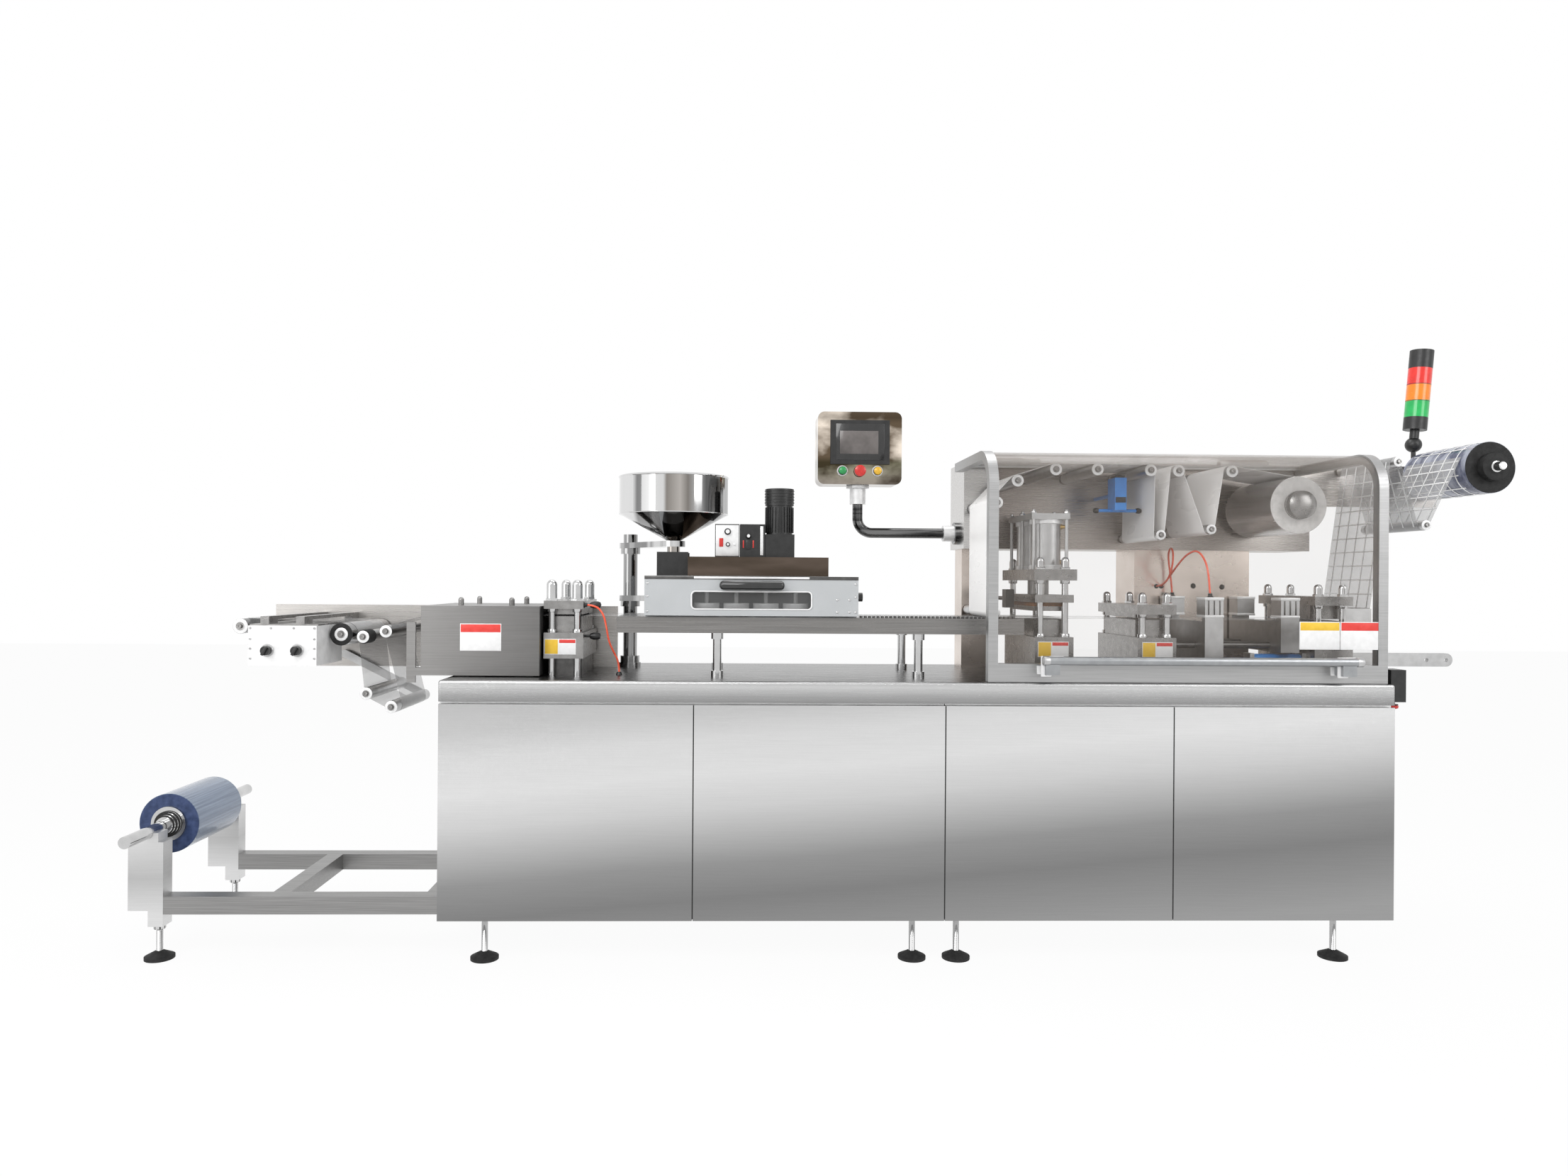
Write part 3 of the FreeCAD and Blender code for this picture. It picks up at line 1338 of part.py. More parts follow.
def grippers():
    """Two pairs of gripper cylinders; the right pair rides on a sliding carriage."""
    start = "embossing_x + press_wide/2"
    length = "punch_x - embossing_x - press_wide"
    rods = [rod("X", start, f"0 {side} guide_offset", "guide_z", "guide_radius", length)
            for side in "-+"]
    made = []
    for x in ("gripper_one_x", "gripper_two_x"):
        left = f"{x} - gripper_wide/2"
        bed = block(left, "-gripper_reach", "guide_z - carriage_high/2", "gripper_wide",
                    "2*gripper_reach", "carriage_high")
        riser = block(left, "-gripper_reach", "guide_z + carriage_high/2", "gripper_wide",
                      "2*gripper_reach", f"{FILM_Z} - gripper_gap - guide_z - carriage_high/2")
        pieces = [bed, riser]
        for y in ("-gripper_reach", "gripper_reach - gripper_deep"):
            pieces.append(block(left, y, f"{FILM_Z} + gripper_gap", "gripper_wide", "gripper_deep",
                                "gripper_high"))
        posts = ("-gripper_reach", "gripper_reach - gripper_post")
        for y in posts:
            pieces.append(block(left, y, f"{FILM_Z} - gripper_gap", "gripper_wide", "gripper_post",
                                "2*gripper_gap"))
        holes = [rod("X", f"{left} - clearance", f"0 {side} guide_offset", "guide_z",
                     "guide_radius + clearance", "gripper_wide + 2*clearance") for side in "-+"]
        made.append(cut(join(*pieces), *holes))
    foot = block("gripper_one_x - gripper_wide/2", "-gripper_reach", "table_height", "gripper_wide",
                 "2*gripper_reach", "guide_z - carriage_high/2 - table_height")
    node("fixed_gripper", join(made[0], foot))
    node("moving_gripper", made[1])
    node("guide_rods", several(*rods))
    start = "(gripper_one_x + gripper_wide/2)"
    right = "(punch_x - press_wide/2)"
    ends = [block(f"{right} - index_length - 2*index_cap", "index_y - index_cap_side/2",
                  "index_z - index_cap_side/2", "index_cap", "index_cap_side", "index_cap_side"),
            block(f"{right} - index_cap", "index_y - index_cap_side/2",
                  "index_z - index_cap_side/2", "index_cap", "index_cap_side", "index_cap_side")]
    node("index_cylinder", join(
        rod("X", f"{right} - index_length - index_cap", "index_y", "index_z", "index_radius",
            "index_length"),
        rod("X", start, "index_y", "index_z", "index_rod",
            f"{right} - index_length - index_cap - {start}"), *ends))


def tower_lamp():
    """Signal lamp on a ball joint, leaning a little to the right."""
    lean = FreeCAD.Rotation(FreeCAD.Vector(0, 1, 0), size("lamp_lean"))

    def leaning(parts):
        item = several(*parts)
        item.Placement = FreeCAD.Placement(FreeCAD.Vector(), lean)
        return place(item, "lamp_x", LAMP_Y, "lamp_ball_z")

    ring = "lamp_ring"
    first = "lamp_neck + lamp_base"
    step = "(lamp_section + lamp_ring)"
    black = [rod("Z", "0", "0", "0", "lamp_pole", "lamp_neck"),
             rod("Z", "0", "0", "lamp_neck", "lamp_radius", "lamp_base"),
             rod("Z", "0", "0", f"{first} + {LENSES}*{step} - {ring}", "lamp_radius", "lamp_cap")]
    black += [rod("Z", "0", "0", f"{first} + {number}*{step} - {ring}", "lamp_radius", ring)
              for number in range(1, LENSES)]
    lenses = [rod("Z", "0", "0", f"{first} + {number}*{step}", "lamp_radius", "lamp_section")
              for number in range(LENSES)]
    foot = join(rod("Z", "lamp_x", LAMP_Y, "beam_top", "lamp_stud", "lamp_ball_z - beam_top"),
                ball("lamp_x", LAMP_Y, "lamp_ball_z", "lamp_ball"),
                leaning(black[:2]))
    node("lamp_stand", several(foot, leaning(black[2:])))
    node("lamp_lenses", leaning(lenses))


def discharge():
    """Rounded side bar at the right end, and the stop button under its box."""
    left = "(punch_x + press_wide/2)"
    middle = "bar_low + bar_high/2"
    bar = join(block(left, "bar_y", "bar_low", f"bar_right - {left} - bar_high/2", "bar_thick",
                     "bar_high"),
               rod("Y", "bar_right - bar_high/2", "bar_y", middle, "bar_high/2", "bar_thick"),
               block(left, "bar_y", "table_height", "bar_foot", "bar_thick",
                     "bar_low - table_height"))
    holes = [rod("Y", f"bar_right - bar_high/2 - {number}*bar_hole_pitch", "bar_y", middle,
                 "bar_hole", "bar_thick") for number in range(BAR_HOLES)]
    node("discharge_bar", cut(bar, *holes))
    right = "cabinet_left + cabinet_length"
    x = f"{right} + stop_box_wide/2"
    y = "cabinet_front + door_thick + stop_box_deep/2"
    low = "pan_bottom + stop_lift"
    node("stop_button", join(
        block(right, "cabinet_front + door_thick", low, "stop_box_wide", "stop_box_deep",
              "stop_box_high"),
        rod("Z", x, y, f"{low} - stop_stem", "stop_stem", "stop_stem"),
        rod("Z", x, y, f"{low} - stop_stem - stop_high", "stop_radius", "stop_high")))


def sensor():
    """Colour mark sensor on a rod from the beam's left leg."""
    z = "sensor_low + sensor_high/2"
    node("mark_sensor", join(
        block("sensor_x - sensor_wide/2", "sensor_y", "sensor_low", "sensor_wide", "sensor_deep",
              "sensor_high"),
        rod("Y", "sensor_x", "sensor_y + sensor_deep", z, "axle_radius",
            "leg_y - sensor_y - sensor_deep")))
    middle = "foil_sensor_y + foil_sensor_deep/2"
    back = "(foil_sensor_y + foil_sensor_deep)"
    node("foil_sensor", join(
        block("foil_sensor_x - foil_sensor_wide/2", "foil_sensor_y", "foil_sensor_low",
              "foil_sensor_wide", "foil_sensor_deep", "foil_sensor_high"),
        rod("X", "foil_sensor_x - foil_sensor_reach", middle, "foil_sensor_low",
            "foil_sensor_rod", "2*foil_sensor_reach"),
        rod("Y", "foil_sensor_x", back, "foil_sensor_low + foil_sensor_high/2", "axle_radius",
            f"beam_front - {back}")))


# Each hose starts from a press or a gripper; its points are measured from there and the table.
HOSES = {
    "hose_far": ("gripper_one_x", [
        (-38, 168, 276), (-37, 118, 280), (-34, 80, 304), (-30, 63, 344), (-25, 70, 380),
        (-20, 92, 400), (-15, 122, 398), (-10, 143, 376), (-5, 146, 338), (-1, 138, 290),
        (0, 133, 244)]),
    "hose_near": ("gripper_one_x", [
        (-22, 168, 276), (-24, 116, 297), (-26, 69, 324), (-25, 22, 353),
        (-21, -26, 379), (-13, -78, 389), (-4, -115, 351), (-1, -128, 298),
        (0, -133, 244)]),
    "forming_hose": ("forming_x", [
        (58, -148, 210), (92, -148, 210), (116, -146, 182), (124, -140, 140),
        (130, -130, 100), (142, -114, 70), (158, -100, 36), (158, -100, 0)]),
}


def hose(label, anchor, points):
    """A hose along straight runs, with a round bend at each corner."""
    start = FreeCAD.Vector(size(anchor), 0, size("table_height"))
    spots = [start + FreeCAD.Vector(*point) for point in points]
    edges, last = [], spots[0]
    for before, corner, after in zip(spots, spots[1:], spots[2:]):
        back, ahead = before - corner, after - corner
        reach = 0.45 * min(back.Length, ahead.Length)
        half = back.getAngle(ahead) / 2
        back.normalize()
        ahead.normalize()
        inward = (back + ahead).normalize()
        entry, leave = corner + back * reach, corner + ahead * reach
        middle = corner + inward * (reach / math.cos(half) - reach * math.tan(half))
        edges.append(Part.makeLine(last, entry))
        edges.append(Part.Arc(entry, middle, leave).toShape())
        last = leave
    edges.append(Part.makeLine(last, spots[-1]))
    ring = Part.Wire([Part.makeCircle(size("hose_thick") / 2, spots[0], spots[1] - spots[0])])
    item = doc.addObject("Part::Feature", label)
    item.Shape = Part.Wire(edges).makePipeShell([ring], True, False)
    item.Placement = FreeCAD.Placement()
    node(label, item)


def hoses():
    """Red air hoses of the left gripper and of the forming press."""
    for label, (anchor, points) in HOSES.items():
        hose(label, anchor, points)


def webs():
    """The film from the first roller to the waste reel, and the foil above it."""
    film_z = size("table_height") + size("film_height")
    wide = size("film_wide")
    small = size("small_radius")
    gap = size("clearance")
    film = [(size("idler_one_x"), size("idler_one_z"), size("idler_one_radius"), -1),
            (size("pinch_x"), size("pinch_z"), size("pinch_radius"), -1),
            (size("dancer_one_x"), size("dancer_one_z"), size("idler_radius"), 1),
            (size("dancer_two_x"), size("dancer_two_z"), size("idler_radius"), 1),
            (size("idler_three_x"), size("idler_three_z"), size("idler_radius"), -1),
            (size("heater_left"), film_z, 0, 1),
            (size("turn_x"), film_z + small + gap, small, 1),
            (size("waste_high_x"), size("waste_high_z"), small, -1),
            (size("waste_low_x"), size("waste_low_z"), small, 1),
            (size("waste_x"), size("waste_z"), size("waste_radius"), -1)]
    web("film_web", film, wide, 0)
    foil = [(size("foil_x"), size("foil_z"), size("foil_radius"), 1)]
    foil += [(size(x), size(z), size(radius), turn) for x, z, radius, turn in reversed(GUIDES)]
    over = film_z + gap + size("film_thick")
    foil.append((size("foil_turn_x"), over + gap + small, small, 1))
    foil.append((size("sealing_x") + size("die_wide") / 2, over, 0, 1))
    web("foil_web", foil, wide, 0)


def check_and_export():
    """Stop on a failed object or a bad shape, then write every sub-part."""
    doc.recompute()
    for item in doc.Objects:
        if "Invalid" in item.State or "Error" in item.State:
            raise RuntimeError(f"{item.Label} failed: {item.State}")
    os.makedirs("parts", exist_ok=True)
    for item in nodes:
        shape = item.Shape
        if shape.isNull() or not shape.isValid() or not shape.Solids:
            raise RuntimeError(f"{item.Label} has no valid solid")
        shape.exportStep(os.path.join("parts", item.Label + ".step"))
    print(len(nodes), "sub-parts written")


fill_sheet()
cabinet()
table()
feet()
unwinder()
film_reel()
infeed()
heating()
presses()
stand()
hopper()
feeder()
track()
operator_panel()
back_structure()
hood()
foil_line()
grippers()
tower_lamp()
discharge()
sensor()
hoses()
webs()
check_and_export()
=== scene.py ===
import math

import bmesh
import bpy
from mathutils import Matrix, Vector


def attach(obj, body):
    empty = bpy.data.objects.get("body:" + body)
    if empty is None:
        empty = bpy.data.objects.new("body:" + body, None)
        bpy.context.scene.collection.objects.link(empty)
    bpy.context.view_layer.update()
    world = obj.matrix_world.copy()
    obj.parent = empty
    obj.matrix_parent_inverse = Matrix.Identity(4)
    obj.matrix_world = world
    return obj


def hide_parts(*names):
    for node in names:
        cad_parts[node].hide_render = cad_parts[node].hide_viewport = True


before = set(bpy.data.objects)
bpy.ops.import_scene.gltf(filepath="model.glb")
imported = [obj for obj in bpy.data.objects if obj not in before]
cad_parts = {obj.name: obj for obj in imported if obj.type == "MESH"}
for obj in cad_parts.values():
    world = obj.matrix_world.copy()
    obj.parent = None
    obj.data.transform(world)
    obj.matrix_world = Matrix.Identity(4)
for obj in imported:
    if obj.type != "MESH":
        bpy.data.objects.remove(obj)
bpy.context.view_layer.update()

# Points and sizes of the pieces are in millimetres, in the frame of the whole row:
# X to the right, Y to the back and Z up from the floor. Finishes and lights use metres.
MM = 0.001

BRUSHED = (0.25, 0.25, 14)       # noise stretched along X and Y, as on upright sheet
LENGTHWAYS = (0.2, 6, 14)        # noise stretched along X, as on long profiles
STREAKED = (2.4, 2.4, 0.1)       # noise stretched along Z, as reflections in round steel
UP = (0, 0, 1)
RIGHT = (1, 0, 0)
SLANTED = (-0.095, 0, 1)         # up, and a little to the left


# Finishes

COLOUR_DETAIL = 4
FINE_DETAIL = 3
WEAR_GRAIN = 1.7     # grain of the roughness to that of the colour


def link(tree, start, end):
    tree.links.new(start, end)


def noise(tree, grain, detail, stretch=(1, 1, 1)):
    """A noise over the object's own coordinates, stretched along its axes."""
    place = tree.nodes.new("ShaderNodeTexCoord")
    turn = tree.nodes.new("ShaderNodeMapping")
    turn.inputs["Scale"].default_value = stretch
    link(tree, place.outputs["Object"], turn.inputs["Vector"])
    cloud = tree.nodes.new("ShaderNodeTexNoise")
    cloud.inputs["Scale"].default_value = grain
    cloud.inputs["Detail"].default_value = detail
    link(tree, turn.outputs["Vector"], cloud.inputs["Vector"])
    return cloud.outputs["Fac"]


def ramp(tree, value, stops, steps=False):
    """Colours along a value; stops are (position, colour)."""
    made = tree.nodes.new("ShaderNodeValToRGB")
    band = made.color_ramp
    band.interpolation = "CONSTANT" if steps else "LINEAR"
    while len(band.elements) < len(stops):
        band.elements.new(0.5)
    for spot, (where, colour) in zip(band.elements, stops):
        spot.position = where
        spot.color = (*colour, 1)
    link(tree, value, made.inputs["Fac"])
    return made.outputs["Color"]


def between(tree, value, start, end, first=0.3, last=0.7):
    """The value from first to last, spread from start to end."""
    made = tree.nodes.new("ShaderNodeMapRange")
    made.inputs["From Min"].default_value = first
    made.inputs["From Max"].default_value = last
    made.inputs["To Min"].default_value = start
    made.inputs["To Max"].default_value = end
    link(tree, value, made.inputs["Value"])
    return made.outputs["Result"]


def height_value(tree, start, end, along, wave=0.0):
    """Where a point is between start and end along one direction, in metres."""
    place = tree.nodes.new("ShaderNodeTexCoord")
    reach = tree.nodes.new("ShaderNodeVectorMath")
    reach.operation = "DOT_PRODUCT"
    reach.inputs[1].default_value = along
    link(tree, place.outputs["Object"], reach.inputs[0])
    value = reach.outputs["Value"]
    if wave:
        bend = between(tree, noise(tree, 1.0, 1, (1.1, 1, 0.2)), -wave, wave)
        total = tree.nodes.new("ShaderNodeMath")
        link(tree, value, total.inputs[0])
        link(tree, bend, total.inputs[1])
        value = total.outputs["Value"]
    return between(tree, value, 0, 1, start, end)


def grey(level, warm=0.0):
    """A grey; warm moves it towards red, and away from blue."""
    return (level * (1 + warm), level, level * (1 - warm))


def finish(name, dark, light, rough, metallic=0.0, grain=25, stretch=(1, 1, 1), spread=0.06,
           bump=0.0002, bumps=300, alpha=1.0, bands=None, steps=False, edges=(0.3, 0.7),
           denser=None, **more):
    """A finish whose colour, roughness and height vary over the surface.

    The colour goes from dark to light where the noise goes between the two edges.
    spread is how far the roughness varies either way; bump is a depth in metres.
    bands is (start, end, stops, along, wave): colours along one direction, multiplied in; on the metals
    these are painted reflections, painted highlights and painted shade.
    denser is (start, end, alpha): the height over which the alpha grows to another.
    """
    made = bpy.data.materials.new(name)
    made.use_nodes = True
    tree = made.node_tree
    shader = tree.nodes["Principled BSDF"]
    shader.inputs["Metallic"].default_value = metallic
    shader.inputs["Alpha"].default_value = alpha
    for socket, value in more.items():
        shader.inputs[socket.replace("_", " ")].default_value = value
    cloud = noise(tree, grain, COLOUR_DETAIL, stretch)
    colour = ramp(tree, cloud, [(edges[0], dark), (edges[1], light)])
    if bands:
        start, end, stops, along, wave = bands
        value = height_value(tree, start, end, along, wave)
        over = ramp(tree, value, stops, steps)
        mixed = tree.nodes.new("ShaderNodeMix")
        mixed.data_type = "RGBA"
        mixed.blend_type = "MULTIPLY"
        mixed.inputs["Factor"].default_value = 1
        link(tree, colour, mixed.inputs["A"])
        link(tree, over, mixed.inputs["B"])
        colour = mixed.outputs["Result"]
    link(tree, colour, shader.inputs["Base Color"])
    if denser:
        start, end, last = denser
        share = height_value(tree, start, end, UP)
        link(tree, between(tree, share, alpha, last, 0, 1), shader.inputs["Alpha"])
    worn = noise(tree, grain * WEAR_GRAIN, FINE_DETAIL, stretch)
    link(tree, between(tree, worn, rough - spread, rough + spread), shader.inputs["Roughness"])
    raised = tree.nodes.new("ShaderNodeBump")
    raised.inputs["Distance"].default_value = bump
    link(tree, noise(tree, bumps, FINE_DETAIL, stretch), raised.inputs["Height"])
    link(tree, raised.outputs["Normal"], shader.inputs["Normal"])
    return made


# Painted reflections, painted highlights and painted shade along the metal finishes, and the lamp lenses'
# own colours: (share of the way, colour that is multiplied in)
# Painted reflection on the doors: lighter and darker bands up their height
door_painted_reflection = [(0.0, grey(0.41)), (0.11, grey(0.34)), (0.235, grey(0.27)), (0.36, grey(0.36)),
              (0.555, grey(0.73)), (0.675, grey(0.86)), (0.80, grey(0.80)), (0.895, grey(0.65)),
              (1.0, grey(0.57))]
# Painted highlight and painted shade on the table's lip: dark below, a highlight near the top, a dark
# line at the top edge
pan_painted_highlight_and_shade = [(0.0, grey(0.40)), (0.35, grey(0.60)), (0.75, grey(0.95)), (0.90, grey(0.80)),
             (0.96, grey(0.28))]
# Painted reflection on the posts: a darker band between 0.13 m and 0.36 m up
post_painted_reflection = [(0.0, grey(0.95)), (0.45, grey(0.66)), (1.0, grey(0.95))]
lens_steps = [(0.0, (0.0, 0.50, 0.10)), (0.333, (1.0, 0.25, 0.0)), (0.667, (0.85, 0.02, 0.01))]
# Painted reflection along the back beam: lighter, darker and warmer stretches from left to right
beam_painted_reflection = [(0.0, grey(1.0)), (0.045, grey(0.95)), (0.055, (0.38, 0.34, 0.32)),
              (0.25, (0.60, 0.56, 0.53)), (0.45, (0.66, 0.61, 0.58)), (0.75, (0.50, 0.46, 0.43)),
              (1.0, (0.80, 0.77, 0.75))]
# Painted reflection in the panel box's mirror steel: darker, greenish and bright bands up its height
panel_painted_reflection = [(0.0, grey(0.35)), (0.28, (0.42, 0.46, 0.38)), (0.36, grey(1.0)), (0.82, grey(1.0)),
               (0.90, grey(0.62)), (1.0, grey(0.85))]
# Painted shade on the heating cover: darker towards its right end
cover_painted_shade = [(0.0, grey(1.0)), (0.45, grey(0.82)), (1.0, grey(0.60))]
# Painted reflection in the polished hopper: upright dark, bright and beige stripes across it
hopper_painted_reflection = [(0.0, grey(1.0)), (0.12, grey(0.95)), (0.16, grey(0.30)), (0.27, grey(0.42)),
                (0.30, grey(1.0)), (0.40, grey(0.95)), (0.43, grey(0.34, 0.08)), (0.55, grey(0.62, 0.06)),
                (0.62, grey(0.28, 0.08)), (0.70, grey(0.60)), (0.78, grey(0.16)), (0.90, grey(0.22)),
                (0.94, grey(0.62)), (1.0, grey(0.20))]

# name: dark, light, roughness, metallic, grain, stretch
look = {
    "doors": finish("doors", grey(0.82), grey(0.86), 0.34, 1, 30, BRUSHED,
                    bands=(0.034, 0.834, door_painted_reflection, SLANTED, 0.008)),
    "pan": finish("pan", grey(0.60), grey(0.66), 0.26, 1, 30, LENGTHWAYS,
                  bands=(0.735, 0.805, pan_painted_highlight_and_shade, UP, 0.0)),
    "sheet": finish("sheet", grey(0.20, 0.03), grey(0.26, 0.03), 0.30, 1, 24, LENGTHWAYS),
    "plate": finish("plate", grey(0.42, 0.04), grey(0.49, 0.04), 0.30, 1, 24, LENGTHWAYS,
                    bump=0.00008),
    "cover": finish("cover", grey(0.26, 0.02), grey(0.30, 0.02), 0.36, 1, 24, BRUSHED,
                    bands=(-1.19, -0.86, cover_painted_shade, RIGHT, 0.0)),
    "beam": finish("beam", grey(0.58, 0.02), grey(0.63, 0.02), 0.28, 1, 16, LENGTHWAYS,
                   bump=0.00005, bands=(0.44, 1.60, beam_painted_reflection, RIGHT, 0.05)),
    "pedestal": finish("pedestal", (0.55, 0.48, 0.43), (0.72, 0.64, 0.58), 0.26, 1, 5, (1, 1, 1.5),
                       bump=0.00004),
    "bronze": finish("bronze", (0.077, 0.059, 0.045), (0.13, 0.10, 0.081), 0.16, 1, 6, (0.5, 1, 2),
                     edges=(0.4, 0.6)),
    "polished": finish("polished", grey(0.53), grey(0.64), 0.10, 1, 18, spread=0.04, bump=0.00005),
    "mirror": finish("mirror", grey(0.66), grey(0.76), 0.05, 1, 6, spread=0.02, bump=0.0002,
                     bumps=9),
    "hopper": finish("hopper", grey(0.67), grey(0.77), 0.07, 1, 6, STREAKED, spread=0.02,
                     bump=0.0002, bumps=9, bands=(-0.662, -0.326, hopper_painted_reflection, RIGHT, 0.012)),
    "pole": finish("pole", grey(0.27), grey(0.66), 0.08, 1, 6, STREAKED, spread=0.02,
                   bump=0.0001, bumps=9, edges=(0.42, 0.58)),
    # Painted reflection: the mirror steel's warm dark and light mottling is painted in its colour
    "panel_steel_painted_reflection": finish("panel_steel_painted_reflection", (0.13, 0.095, 0.062), (0.94, 0.83, 0.71), 0.07, 1, 7,
                          (1, 1, 1.6), spread=0.02, bump=0.0001, bumps=12, edges=(0.38, 0.6),
                          bands=(1.41, 1.65, panel_painted_reflection, UP, 0.012)),
    "satin": finish("satin", grey(0.46), grey(0.56), 0.34, 1, 40),
    "frame": finish("frame", grey(0.37), grey(0.45), 0.36, 1, 30, LENGTHWAYS),
    "rails": finish("rails", grey(0.25, 0.01), grey(0.34, 0.01), 0.34, 1, 30, LENGTHWAYS),
    "alloy": finish("alloy", (0.32, 0.33, 0.34), (0.38, 0.39, 0.40), 0.36, 1, 40),
    "dark": finish("dark", grey(0.09, 0.02), grey(0.14, 0.02), 0.34, 1, 40),
    "dark_chrome": finish("dark_chrome", grey(0.12), grey(0.24), 0.14, 1, 12, spread=0.04,
                          bump=0.0001),
    "plates": finish("plates", grey(0.25, 0.02), grey(0.34, 0.02), 0.30, 1, 40),
    "paint": finish("paint", (0.43, 0.445, 0.455), (0.47, 0.485, 0.495), 0.42, 0, 7),
    "posts": finish("posts", grey(0.73), grey(0.78), 0.35, 1, 30, BRUSHED,
                    bands=(0.13, 0.36, post_painted_reflection, UP, 0.0)),
    "rubber": finish("rubber", grey(0.012), grey(0.026), 0.62, 0, 60, bump=0.0004,
                     Specular_IOR_Level=0.25),
    "plastic": finish("plastic", grey(0.010), grey(0.020), 0.36, 0, 60),
    "blue_film": finish("blue_film", (0.075, 0.12, 0.21), (0.22, 0.29, 0.40), 0.14, 0.2, 3,
                        (60, 1, 60), spread=0.05, Coat_Weight=0.6),
    "clear_film": finish("clear_film", grey(0.42), grey(0.62), 0.12, 0, 9, (1, 0.3, 1), alpha=0.34,
                         spread=0.05, bump=0.001, bumps=20),
    "foil": finish("foil", (0.92, 0.91, 0.90), (0.99, 0.98, 0.97), 0.30, 0.0, 7, (1, 0.3, 1),
                   bump=0.001, bumps=20),
    "foil_wound": finish("foil_wound", (0.36, 0.34, 0.33), (0.68, 0.66, 0.65), 0.24, 0.7, 5,
                         (3, 0.15, 3), edges=(0.4, 0.6)),
    "acrylic": finish("acrylic", (0.22, 0.19, 0.16), (0.34, 0.30, 0.27), 0.06, 0, 5, alpha=0.09,
                      spread=0.02, bump=0.0004, bumps=6, denser=(1.40, 1.47, 0.42)),
    "pane": finish("pane", grey(0.16), grey(0.26), 0.08, 0, 5, alpha=0.20, spread=0.02,
                   bump=0.0001, bumps=20),
    "gloss": finish("gloss", grey(0.008), grey(0.016), 0.16, 0, 40, spread=0.04, bump=0.00004,
                    Coat_Weight=0.5),
    "tube": finish("tube", grey(0.04), grey(0.19), 0.12, 1, 9, (0.3, 3, 9), spread=0.04,
                   bump=0.00005, edges=(0.4, 0.6)),
    "lens": finish("lens", grey(0.80), grey(1.0), 0.22, 0, 40, steps=True, Coat_Weight=0.5,
                   bands=(1.643, 1.806, lens_steps, UP, 0.0)),
    "waste": finish("waste", (0.05, 0.06, 0.12), (0.36, 0.38, 0.46), 0.14, 0, 12, (1, 1.6, 1),
                    alpha=0.85, spread=0.05, edges=(0.42, 0.58)),
    "bright": finish("bright", grey(0.74), grey(0.86), 0.36, 0.3, 50),
    "brass": finish("brass", (0.45, 0.30, 0.12), (0.60, 0.42, 0.18), 0.30, 1, 40),
    "resin": finish("resin", (0.16, 0.07, 0.03), (0.26, 0.12, 0.05), 0.55, 0, 60),
    "hose": finish("hose", (0.90, 0.08, 0.03), (1.0, 0.15, 0.07), 0.22, 0, 80, Coat_Weight=0.4),
    "red": finish("red", (0.55, 0.015, 0.012), (0.68, 0.03, 0.02), 0.30, 0, 80, Coat_Weight=0.3),
    "green": finish("green", (0.01, 0.25, 0.06), (0.02, 0.34, 0.09), 0.30, 0, 80, Coat_Weight=0.3),
    "yellow": finish("yellow", (0.70, 0.40, 0.02), (0.85, 0.50, 0.03), 0.30, 0, 80,
                     Coat_Weight=0.3),
    "blue": finish("blue", (0.02, 0.20, 0.62), (0.04, 0.28, 0.74), 0.34, 0, 50, Coat_Weight=0.3),
    "screen": finish("screen", (0.06, 0.053, 0.05), (0.15, 0.135, 0.13), 0.14, 0, 9, bump=0.00004,
                     edges=(0.4, 0.6)),
    "wound_film": finish("wound_film", (0.02, 0.035, 0.09), (0.05, 0.075, 0.17), 0.34, 0, 60,
                         Specular_IOR_Level=0.3),
    "paper": finish("paper", grey(0.52, 0.02), grey(0.68, 0.02), 0.5, 0, 60),
    "sign": finish("sign", grey(0.80), grey(0.88), 0.4, 0, 60),
    "sign_red": finish("sign_red", (0.68, 0.04, 0.03), (0.76, 0.06, 0.05), 0.4, 0, 60),
    "sign_yellow": finish("sign_yellow", (0.78, 0.48, 0.03), (0.86, 0.56, 0.05), 0.4, 0, 60),
    "brush": finish("brush", grey(0.62), grey(0.80), 0.7, 0, 60, (60, 60, 1), bump=0.001),
}

# The finish of each CAD node
wear = {
    "cabinet_bases": "posts", "cabinet_doors": "doors", "table_pan": "pan",
    "levelling_feet": "rubber", "unwinder_posts": "posts", "unwinder_rails": "rails",
    "infeed_plate": "plate", "switch_box": "bright", "switch_knobs": "plastic",
    "splice_table": "plates", "infeed_rollers": "dark_chrome", "dancer": "satin",
    "heating_cover": "cover", "heating_plates": "plates", "forming_base": "dark",
    "press_blocks": "plates", "press_columns": "polished", "press_plates": "plates",
    "sealing_cylinders": "satin", "hopper_stand": "pole", "hopper": "hopper",
    "chute": "plastic", "feeder_housing": "paint", "feeder_window": "pane",
    "feeder_handle": "plastic", "feeder_brushes": "brush", "drive_box": "bronze",
    "speed_controls": "plastic", "feeder_motor": "plastic", "guide_track": "sheet",
    "track_legs": "polished", "panel_arm": "tube", "back_beam": "beam", "beam_legs": "pedestal",
    "guide_rollers": "satin", "fixed_gripper": "satin", "guide_rods": "dark",
    "lamp_stand": "plastic", "lamp_lenses": "lens", "discharge_bar": "satin",
    "stop_button": "plastic", "mark_sensor": "plastic", "film_web": "clear_film",
    "foil_web": "foil", "film_shaft": "polished", "film_roll": "blue_film", "foil_roll": "foil_wound",
    "waste_roll": "waste", "panel_box": "panel_steel_painted_reflection", "panel_controls": "plastic",
    "hood_frame": "frame", "hood_glass": "acrylic", "hood_grip": "alloy",
    "sealing_platen": "plates", "moving_gripper": "satin", "foil_sensor": "blue",
    "index_cylinder": "blue", "hose_far": "hose", "hose_near": "hose", "forming_hose": "hose",
}

for node, finish_name in wear.items():
    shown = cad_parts[node].data
    shown.materials.clear()
    shown.materials.append(look[finish_name])


# Shapes

SHARP = 32    # degrees at which an edge stays sharp


